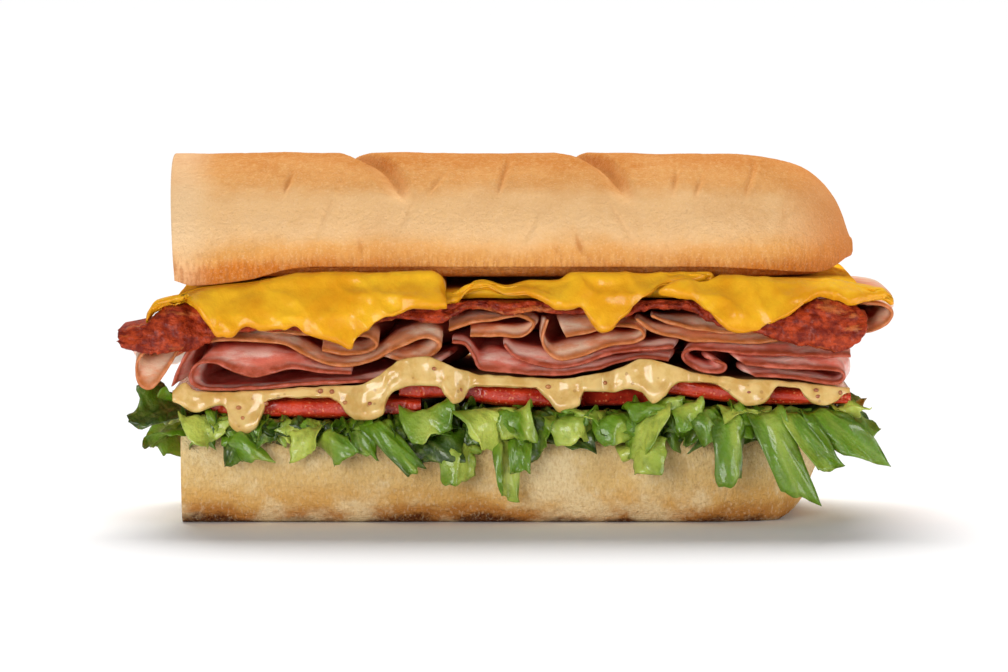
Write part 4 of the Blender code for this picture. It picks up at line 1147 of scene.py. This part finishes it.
# %% Sauce shape
SAUCE_LEVEL = (
    (-76.4, 29.9), (-72, 29.9), (-58, 29.6), (-33, 29.65), (-29.5, 30.4), (-26.4, 32.5), (-20, 33.3),
    (-15, 33.45), (-9, 32.95), (1, 32.4), (14, 31.7), (29, 31.9), (32.4, 34.3), (38, 33.9), (42, 33.1),
    (46, 32.7), (53, 32.2), (66, 31.5), (74.2, 30.6),
)
SAUCE_HEM = (
    (-76.4, 28.0), (-74.7, 27.3), (-71, 25.6), (-65.4, 27.1), (-64.4, 26), (-63.6, 23), (-61.5, 20.9),
    (-60.4, 20.7), (-57.5, 22), (-56.2, 25.4), (-55.1, 28), (-50.2, 28.8), (-41.8, 28.8), (-39.5, 27.8),
    (-37.8, 25.4), (-35.5, 24.2), (-32.4, 24), (-29.6, 25.4), (-28.4, 28.7), (-26.7, 30.6),
    (-23.5, 31.6), (-18, 31.6), (-16.7, 31.2), (-15.8, 29.6), (-13.8, 27.8), (-11.6, 28.5), (-10.2, 31),
    (-8.9, 31.4), (4, 31.1), (6.7, 28.9), (9.8, 25.8), (14, 27.2), (15.1, 30.2), (20.7, 30.2),
    (24.4, 30.8), (27.6, 30.2), (30.2, 27.8), (32.9, 29.4), (34.7, 31.6), (36.4, 32.4), (44, 31.8),
    (46, 30.6), (48.7, 28.5), (51.3, 27.1), (54.4, 27.6), (56.9, 30), (58.2, 31.2), (62.7, 31),
    (64.2, 29), (65.8, 27.6), (68.4, 27.1), (71.3, 28), (73.1, 29.6), (74.2, 30),
)
SAUCE_TOP = (
    (-76.4, 30.2), (-75, 31.5), (-73.4, 32.2), (-71.6, 30.6), (-69, 30), (-66, 30.0), (-56, 30.5),
    (-46, 31.3), (-38, 31.6), (-34.5, 32), (-31, 33.6), (-28.6, 35.4), (-25.8, 37.4), (-20.2, 38.1),
    (-14.7, 36.2), (-11, 34.8), (-8, 33.9), (-4, 33.9), (3, 33.4), (10, 33.2), (16, 34), (20, 34.6),
    (23.6, 35.8), (27.6, 37.5), (31, 37.3), (36.4, 35.8), (40, 34.4), (43, 33.9), (46, 33.8),
    (50, 33.1), (56, 32.9), (62, 32.4), (67, 31.7), (71, 31.1), (74.2, 30.3),
)
# How far the front of the sauce stands out.
SAUCE_FRONT = (
    (-76.4, -41.4), (-38, -41.4), (-33, -44), (-14, -44), (-10, -41.6), (19, -41.6), (22, -43.8),
    (38, -43.8), (41, -41.6), (74.2, -41.6),
)


def blanket(u, v):
    run, shrink = with_ends(u, 0.008, 0.008)
    x = -76.2 + 150.2 * run
    level, top, low = (along(table, x, True) for table in (SAUCE_LEVEL, SAUCE_TOP, SAUCE_HEM))
    top = np.maximum(top, level + 0.4)
    low = np.minimum(low, top - 1.2)
    front = along(SAUCE_FRONT, x, True) - 0.5 * smooth((level - low - 1) / 4)
    front = front - 0.3 * uneven(x / 4, 2, 0, 12)
    fall, still = top - low, 0 * x
    bulb = 0.8 * smooth((fall - 4.5) / 4)
    points = [
        # the upper face, from the back to the front
        (34.5 + still, level), (33.8 + still, level + 0.25), (-33 + still, level + 0.25),
        (-37.6 + still, level + 0.3), (front + 2.6, np.minimum(level + 0.5, top - 0.2)),
        # over the front and down to the hem
        (front + 1.7, top - 0.5), (front + 0.9, top), (front + 0.25, top - 0.22 * fall),
        (front, top - 0.5 * fall), (front - 0.2 - bulb, top - 0.8 * fall),
        (front + 0.1 - 0.7 * bulb, low + 0.25), (front + 0.8, low), (front + 1.5, low + 0.4),
        # up behind the drips and back under the blanket
        (np.maximum(front + 1.9, -39.9), np.minimum(level - 0.7, low + 0.5 * fall)),
        (-38.6 + still, level - 0.35), (-33 + still, level - 0.25), (33.8 + still, level - 0.25),
        (34.5 + still, level),
    ]
    y, z = across_line(points, v * (len(points) - 1))[:2]
    y = -38 + (y + 38) * shrink
    return drift(x, y, level + (z - level) * shrink)


def pooled(x, y, z, normal):
    return 0.38 * crumpled(x / 3.2, z / 2.6, y / 3, 71, 2) * smooth((-38 - y) / 2)


mustard, tree, shader, spot = begin("mustard_sauce")
colour = blend(tree, patches(tree, spot, 260.0, 0.35, 0.65), (0.64, 0.38, 0.10), (0.78, 0.54, 0.20))
flecks = specks(tree, spot, 700.0, 0.36, 0.1)
colour = tinted(tree, colour, flecks, 0.5, (0.35, 0.14, 0.03))
complete(
    tree, shader, colour, 0.24, spot, 500.0, 1800.0, 0.05, Coat_Weight=0.6, Coat_Roughness=0.06,
    Specular_IOR_Level=0.3, Subsurface_Weight=0.15, Subsurface_Scale=0.002,
)
dress(relief(loaf("sauce_blanket", 620, 90, blanket), pooled), mustard, "sauce", "sauce")

# %% Mustard seeds
grain, tree, shader, spot = begin("mustard_seed")
colour = blend(tree, patches(tree, spot, 300.0, 0.4, 0.6), (0.30, 0.07, 0.02), (0.52, 0.20, 0.05))
complete(tree, shader, colour, 0.3, spot, 900.0, 2500.0, 0.08, Coat_Weight=0.5)
draw = random.Random(8)
SEED_RADIUS, DRAWN_SEEDS = 0.55 * MM, 9
SEEDS = (
    (-60.7, 24.4), (-32.4, 27.8), (-30.5, 26.2), (-18.2, 35.6), (-12.4, 30.8), (7.1, 31.4), (12, 29.1),
    (51.6, 30.2), (55.3, 30.4), (66.9, 29.2),
)
bm = bmesh.new()
for x, z in SEEDS + tuple((draw.uniform(-74, 72), 0) for _ in range(DRAWN_SEEDS)):
    low, top = float(along(SAUCE_HEM, x)), float(along(SAUCE_TOP, x))
    z = z or low + draw.uniform(0.15, 0.8) * (top - low)
    front = float(along(SAUCE_FRONT, x, True)) - 0.5 * float(smooth((top - low - 2) / 4))
    made = bmesh.ops.create_uvsphere(bm, u_segments=10, v_segments=7, radius=SEED_RADIUS)["verts"]
    bmesh.ops.scale(bm, vec=(draw.uniform(0.8, 1.25), 0.7, draw.uniform(0.8, 1.1)), verts=made)
    bmesh.ops.translate(bm, vec=Vector((x, front + 0.1, z)) * MM, verts=made)
seeds = settle(new_object("mustard_seeds", bm))
dress(seeds, grain, "sauce")

# %% [markdown]
# ## The lettuce
# A heap of torn leaves between the tomato and the bottom bun, with ruffled pieces hanging out over
# it all round. The heap is a low core with an uneven surface, and every torn piece is its own small
# plate: it leaves the core, bends over the edge and hangs, wider in the middle, torn at its tip, with
# a raised pale rib. All pieces share one mesh, and each has its own tone, from dark outer leaf to
# pale heart.

# %% Where the front pieces come out, where they end, and their width, reach and tone
FRONT = (
    (-70, 24.4, -68, 18.8, 10, -42, 0.9), (-62.8, 20.8, -57.2, 15, 6.5, -44, 0.7),
    (-62, 19.6, -62, 14.4, 6, -41.6, 0.1), (-56, 21.8, -56, 18.8, 6, -41.8, 0.15),
    (-46.7, 21.8, -46.4, 15.8, 7, -42.6, 0.95), (-42, 21.4, -38, 15.4, 7, -44, 0.6),
    (-36, 23, -33.4, 16.4, 6, -42.4, 0.35), (-32.4, 22.9, -22.4, 12.8, 7, -43.8, 0.5),
    (-19, 20.4, -19, 14.8, 14, -41.4, 0.05), (-20, 26.6, -18.6, 20.2, 11, -43.4, 0.6),
    (-7.4, 26.2, -6.4, 17.6, 12, -44.2, 0.85), (-1, 26.4, 1, 20, 8, -43.6, 0.7),
    (-12.6, 18.4, -12, 10.4, 8, -42.9, 0.85), (-2.4, 18.4, -2.4, 6.6, 6.6, -42.4, 0.9),
    (1.2, 19.4, 0.8, 12.6, 5, -43.5, 0.55), (4.6, 23, 6, 17, 8, -42.2, 0.45),
    (12, 21.8, 12.4, 17.6, 10, -41.6, 0.05), (11.6, 25.4, 14, 20, 11, -43.8, 0.9),
    (14.6, 26.2, 16, 24.6, 8, -42.8, 0.75), (23, 25.2, 23, 19.4, 10, -43, 0.7),
    (30, 28.6, 31.5, 24.6, 11, -42.6, 0.65), (30.4, 24.8, 27.6, 16.4, 10, -43.6, 0.9),
    (28, 19, 27.4, 11.6, 9.5, -44.7, 0.85), (38, 27.4, 38.4, 22, 6.5, -42.4, 0.6),
    (41.6, 26, 44, 19.6, 6, -43.4, 0.5), (48, 24.4, 48.8, 10.5, 7.5, -44.6, 0.55),
    (50.6, 27, 51, 24.8, 11, -42.4, 0.95), (54, 24.6, 63.4, 6.7, 7.5, -45.6, 0.45),
    (61, 24.8, 69.4, 13.2, 7, -44.2, 0.6), (66.4, 25.8, 77.4, 15.2, 9, -42.6, 0.5),
    (72, 26.4, 77, 25.6, 5, -39, 0.9),
)
ENDS = (
    (-1, -31, 25, 14, -1, 10, 0.1), (-1, -26, 21.8, 10, 4.6, 9, 0.4), (-1, -34, 27.4, 8, -2, 5, 0.3),
    (-1, -8, 22.6, 9, 4, 10, 0.7), (-1, 8, 24, 8, 2, 9, 0.3), (-1, 27, 22, 10, 5, 9, 0.8),
    (-1, -20, 23.6, 7, 1, 8, 0.9), (-1, 18, 23, 8, 3, 8, 0.5), (1, -22, 24.4, 8, 6, 9, 0.6),
    (1, -2, 23.4, 9, 5, 10, 0.3), (1, 18, 24, 7, 4, 9, 0.8), (1, -12, 25, 6, 2, 8, 0.95),
    (1, 8, 22.6, 7, 4, 8, 0.5),
)
CORE_TOP = (
    (-72, 24.7), (-64, 23.8), (-56, 23.2), (-41, 22.9), (-28, 23.4), (-20.5, 23.8), (-16.5, 26.6),
    (-10.7, 26.5), (1, 25.3), (14, 25.1), (33, 25.1), (38.5, 27), (44, 26.7), (50, 26.2), (61, 26),
    (72, 26.2),
)


# %% The list of leaf lines: root, knee, tip, direction across, width, tone
def leaf_lines():
    draw = random.Random(5)
    lines = []
    for x, z, tip_x, tip_z, width, reach, tone in FRONT:
        root = (x, -31.5 if x < 52 else -26.0, min(z, float(along(CORE_TOP, x)) - 0.4))
        lines.append((
            root, (x + 0.2 * (tip_x - x), reach + 1.4, max(z - 0.6, tip_z + 1)),
            (tip_x, reach - 0.4, tip_z), (1, 0, 0.1), width, tone,
        ))
    for i in range(46):
        x = -71 + 3.15 * i + draw.uniform(-1, 1)
        z = draw.uniform(20.8, float(along(CORE_TOP, x)) - 0.6)
        reach = -37.6 - draw.uniform(0, 3) if x < 58 else -34.0
        tip_z = max(z - draw.uniform(1, 5), 18.2)
        lines.append((
            (x, -28, z), (x, reach + 1, z + 0.6), (x + draw.uniform(-3, 3), reach - 0.4, tip_z),
            (1, draw.uniform(-0.3, 0.3), draw.uniform(-0.3, 0.3)), draw.uniform(5, 9),
            draw.uniform(0, 0.3),
        ))
    for i in range(26):
        x = -70 + 5.3 * i + draw.uniform(-1.5, 1.5)
        z = float(along(CORE_TOP, x)) - draw.uniform(0.5, 1.5)
        reach = -39.6 - draw.uniform(0, 1.6) if x < 58 else -36.0
        lines.append((
            (x, -29, z), (x, reach + 1.6, z + 0.8),
            (x + draw.uniform(-3, 3), reach - 0.4, z - draw.uniform(2.5, 4.5)),
            (1, draw.uniform(-0.3, 0.3), draw.uniform(-0.4, 0.4)), draw.uniform(6, 9),
            draw.uniform(0.25, 0.8),
        ))
    for i in range(34):
        x = min(-68 + 4.0 * i + draw.uniform(-2, 2), 60)
        z = draw.uniform(21.4, float(along(CORE_TOP, x)) - 0.8)
        reach = draw.uniform(39.5, 43.5)
        lines.append((
            (x, 30, z), (x, reach - 1.5, z - 0.6),
            (x + draw.uniform(-4, 4), reach, draw.uniform(9, 20)), (1, 0, draw.uniform(-0.2, 0.2)),
            draw.uniform(6, 11), draw.uniform(0.1, 1),
        ))
    for side, y, z, reach, fall, width, tone in ENDS:
        out = side * 71.5
        lines.append((
            (side * 66, y, min(z, 25.4)), (out + side * 0.55 * reach, y - 2, z + 0.2 - 0.3 * fall),
            (out + side * reach, y - 4, z - fall), (0.15, 1, 0.25), width, tone,
        ))
    return lines


lines = leaf_lines()
ROOT, KNEE, TIP, ACROSS = (np.array([line[k] for line in lines], float) for k in range(4))
WIDTH, TONE = (np.array([line[k] for line in lines], float) for k in (4, 5))
ACROSS /= np.linalg.norm(ACROSS, axis=1)[:, None]
rng = np.random.default_rng(12)
count = len(lines)
PHASE, TURN = rng.uniform(0, 6.28, count), rng.uniform(0.6, 1.5, count)
TEAR, TWIST = rng.uniform(0.02, 0.32, count), rng.uniform(-0.9, 0.9, count)
CUP, SLANT = rng.uniform(-0.22, 0.22, count), rng.uniform(-0.5, 0.5, count)
print("leaves:", count)


# %% Leaf shape
REACH_X, REACH_Y = (-88.2, 84.7), (-47.3, 47.4)  # no leaf goes past these


def torn_leaf(number, u, v, side):
    across, along_it = 2 * u - 1, v
    root, knee, tip = ROOT[number], KNEE[number], TIP[number]
    middle = (root + knee) / 2
    beyond = tip + (tip - knee) * 0.2

    def at(t):
        t = (np.clip(t, 0, 1) * 3)[:, None]
        first = bent(root, root, middle, knee, t)
        second = bent(root, middle, knee, tip, t - 1)
        third = bent(middle, knee, tip, beyond, t - 2)
        return np.where(t < 1, first, np.where(t < 2, second, third))

    spot = at(along_it)
    step = at(along_it + NEAR) - at(along_it - NEAR)
    step /= np.linalg.norm(step, axis=1)[:, None] + 1e-12
    wide = ACROSS[number]
    up = np.cross(wide, step)
    up /= np.linalg.norm(up, axis=1)[:, None] + 1e-9
    turn = (TWIST[number] * smooth((along_it - 0.35) / 0.65))[:, None]
    wide, up = wide * np.cos(turn) + up * np.sin(turn), up * np.cos(turn) - wide * np.sin(turn)
    shape = (0.5 + 0.5 * smooth(along_it / 0.5)) * (1 - TEAR[number] * smooth((along_it - 0.72) / 0.28))
    shape = shape * (1.12 + 0.22 * uneven(along_it * 4, np.sign(across) * 9, number * 3.1, 81))
    shape = shape + 0.08 * uneven(along_it * 13, np.sign(across) * 5, number * 2.3, 82)
    half = WIDTH[number] / 2 * shape
    free = smooth((along_it - 0.3) / 0.4)
    wave = np.sin(PHASE[number] + 3.4 * across * TURN[number] + 6 * along_it)
    curl = 1.3 * wave * free * (0.35 + 0.65 * across**2)
    curl = curl + CUP[number] * WIDTH[number] * across**2 * free
    frill = np.sin(along_it * 17 + PHASE[number] + 2 * np.sign(across))
    curl = curl + 0.5 * frill * np.abs(across) ** 1.5 * free
    curl = curl + 0.7 * crumpled(across * 1.8 + number * 5, along_it * 5, 0, 83) * free
    curl = curl + 0.3 * np.sin(6.28 * (along_it * 5 - np.abs(across) * 1.4)) * free
    reach = uneven(across * 2.2 + number * 7, number * 1.7, 0, 85) * smooth((along_it - 0.8) / 0.2)
    reach = reach + SLANT[number] * across * half * smooth((along_it - 0.55) / 0.45)
    rib = np.exp(-((across - 0.15 * np.sin(PHASE[number])) / 0.13) ** 2)
    veins = np.exp(-((np.mod(along_it * 6 - np.abs(across) * 1.6, 1.0) - 0.5) / 0.1) ** 2) * 0.6
    thick = 0.17 + 0.26 * rib * (1 - 0.6 * along_it)
    border = np.minimum(1 - np.abs(across), (1 - along_it) * 3) * half
    offset = side * thick * rim(border + 0.08, 0.35)
    place = spot + wide * (half * across)[:, None] + up * (curl + offset)[:, None]
    place = place + step * reach[:, None]
    place[:, 1] = np.clip(place[:, 1], *REACH_Y)
    place[:, 0] = np.clip(place[:, 0], *REACH_X)
    tone = TONE[number] + 0.3 * uneven(across * 1.3 + number * 3, along_it * 3, 0, 87) - 0.15 * across**2
    return place[:, 0], place[:, 1], place[:, 2], tone, np.maximum(rib * (number % 3 == 0), veins)


def heap(u, v, side):
    x = -71.5 + 143.5 * u
    depth = 36 * (1 - 0.3 * smooth((x - 52) / 20))
    y = depth * (2 * v - 1)
    crumple = 0.5 * crumpled(x / 4, y / 4, 0, 91)
    top = along(CORE_TOP, x, True) - 0.5 - 0.4 * smooth((np.abs(y) - 30) / 6) + np.minimum(crumple, 0.3)
    return (*drift(x, y, np.where(side < 0, BASE_TOP + 0.5, top)), 0.1 + 0 * x, 0 * x)


leaf_green, tree, shader, spot = begin("torn_lettuce")
tone = note(tree, "tone")
colour = blend(tree, ease(tree, tone, 0.0, 0.5), (0.022, 0.055, 0.002), (0.12, 0.25, 0.006))
colour = blend(tree, ease(tree, tone, 0.5, 1.0), colour, (0.52, 0.60, 0.09))
colour = tinted(tree, colour, patches(tree, spot, 350.0, 0.45, 0.7), 0.5, (0.10, 0.17, 0.006))
colour = tinted(tree, colour, note(tree, "rib"), 0.3, (0.50, 0.58, 0.14))
rough = calculate(tree, "MULTIPLY_ADD", patches(tree, spot, 300.0, 0.3, 0.7), 0.15, 0.3)
complete(
    tree, shader, colour, rough, spot, 500.0, 1600.0, 0.4, Coat_Weight=0.55, Coat_Roughness=0.1,
    Specular_IOR_Level=0.3, Subsurface_Weight=0.1, Subsurface_Scale=0.001,
)
leaves = plates("lettuce_leaves", count, 12, 24, torn_leaf, ("tone", "rib"))
core = plate("lettuce_heart", 150, 60, heap, ("tone", "rib"))
dress(leaves, leaf_green, "lettuce", "lettuce")
dress(core, leaf_green, "lettuce", "lettuce")

# %% [markdown]
# ## Floor, light and camera
# The scene is a bright studio shot on a flat pale floor: a large soft lamp low in front on the left,
# a smaller fill at the right, and a very soft sun from above and behind, which shiny surfaces don't
# mirror, so that the filling keeps its colours. The camera stands far back with a long lens, a little
# above the table, so the long side shows almost flat.

# %% Floor
FLOOR_REACH = 20.0  # metres to each side, so that its edge is out of sight
bm = bmesh.new()
bmesh.ops.create_grid(bm, x_segments=2, y_segments=2, size=FLOOR_REACH)
floor = new_object("floor", bm)
paper = bpy.data.materials.new("white_paper")
paper.use_nodes = True
paper_shader = paper.node_tree.nodes["Principled BSDF"]
paper_shader.inputs["Base Color"].default_value = (0.92, 0.92, 0.92, 1)
paper_shader.inputs["Roughness"].default_value = 0.7
floor.data.materials.append(paper)
print("floor:", floor.name)

# %% Light
MIDDLE = Vector((0, 0, 0.04))  # what both lamps face
world = bpy.data.worlds.new("white_room")
bpy.context.scene.world = world
world.use_nodes = True
world.node_tree.nodes["Background"].inputs["Color"].default_value = (1, 1, 1, 1)
world.node_tree.nodes["Background"].inputs["Strength"].default_value = 0.22


def lamp(name, spot, size, power):
    data = bpy.data.lights.new(name, "AREA")
    data.shape, data.size, data.size_y, data.energy = "RECTANGLE", size[0], size[1], power
    obj = bpy.data.objects.new(name, data)
    bpy.context.scene.collection.objects.link(obj)
    obj.location = spot
    obj.rotation_euler = (MIDDLE - Vector(spot)).to_track_quat("-Z", "Y").to_euler()
    return obj


lamp("key_light", (-0.5, -1.15, 0.26), (0.6, 0.5), 7.2)
lamp("fill_light", (0.95, -0.6, 0.3), (0.5, 0.5), 3.6)
sky = bpy.data.lights.new("sky_light", "SUN")
sky.energy, sky.angle = 4.3, math.radians(40)
ceiling = bpy.data.objects.new("sky_light", sky)
bpy.context.scene.collection.objects.link(ceiling)
ceiling.rotation_euler = (math.radians(-43), math.radians(-6), 0)
ceiling.visible_glossy = False
bpy.context.scene.view_settings.view_transform = "Standard"

# %% Camera
AWAY, TILT = 1.4, math.radians(4)
aim = Vector((-0.0027, -0.038, 0.0424))  # a point of the shown side, in the middle of the picture
lens = bpy.data.cameras.new("photo_camera")
lens.sensor_width, lens.lens, lens.clip_end = 36, 225, 60
camera = bpy.data.objects.new("photo_camera", lens)
bpy.context.scene.collection.objects.link(camera)
camera.location = aim + AWAY * Vector((0, -math.cos(TILT), math.sin(TILT)))
camera.rotation_euler = (aim - camera.location).to_track_quat("-Z", "Y").to_euler()
bpy.context.scene.camera = camera
print("camera:", camera.name, "lens:", lens.lens)
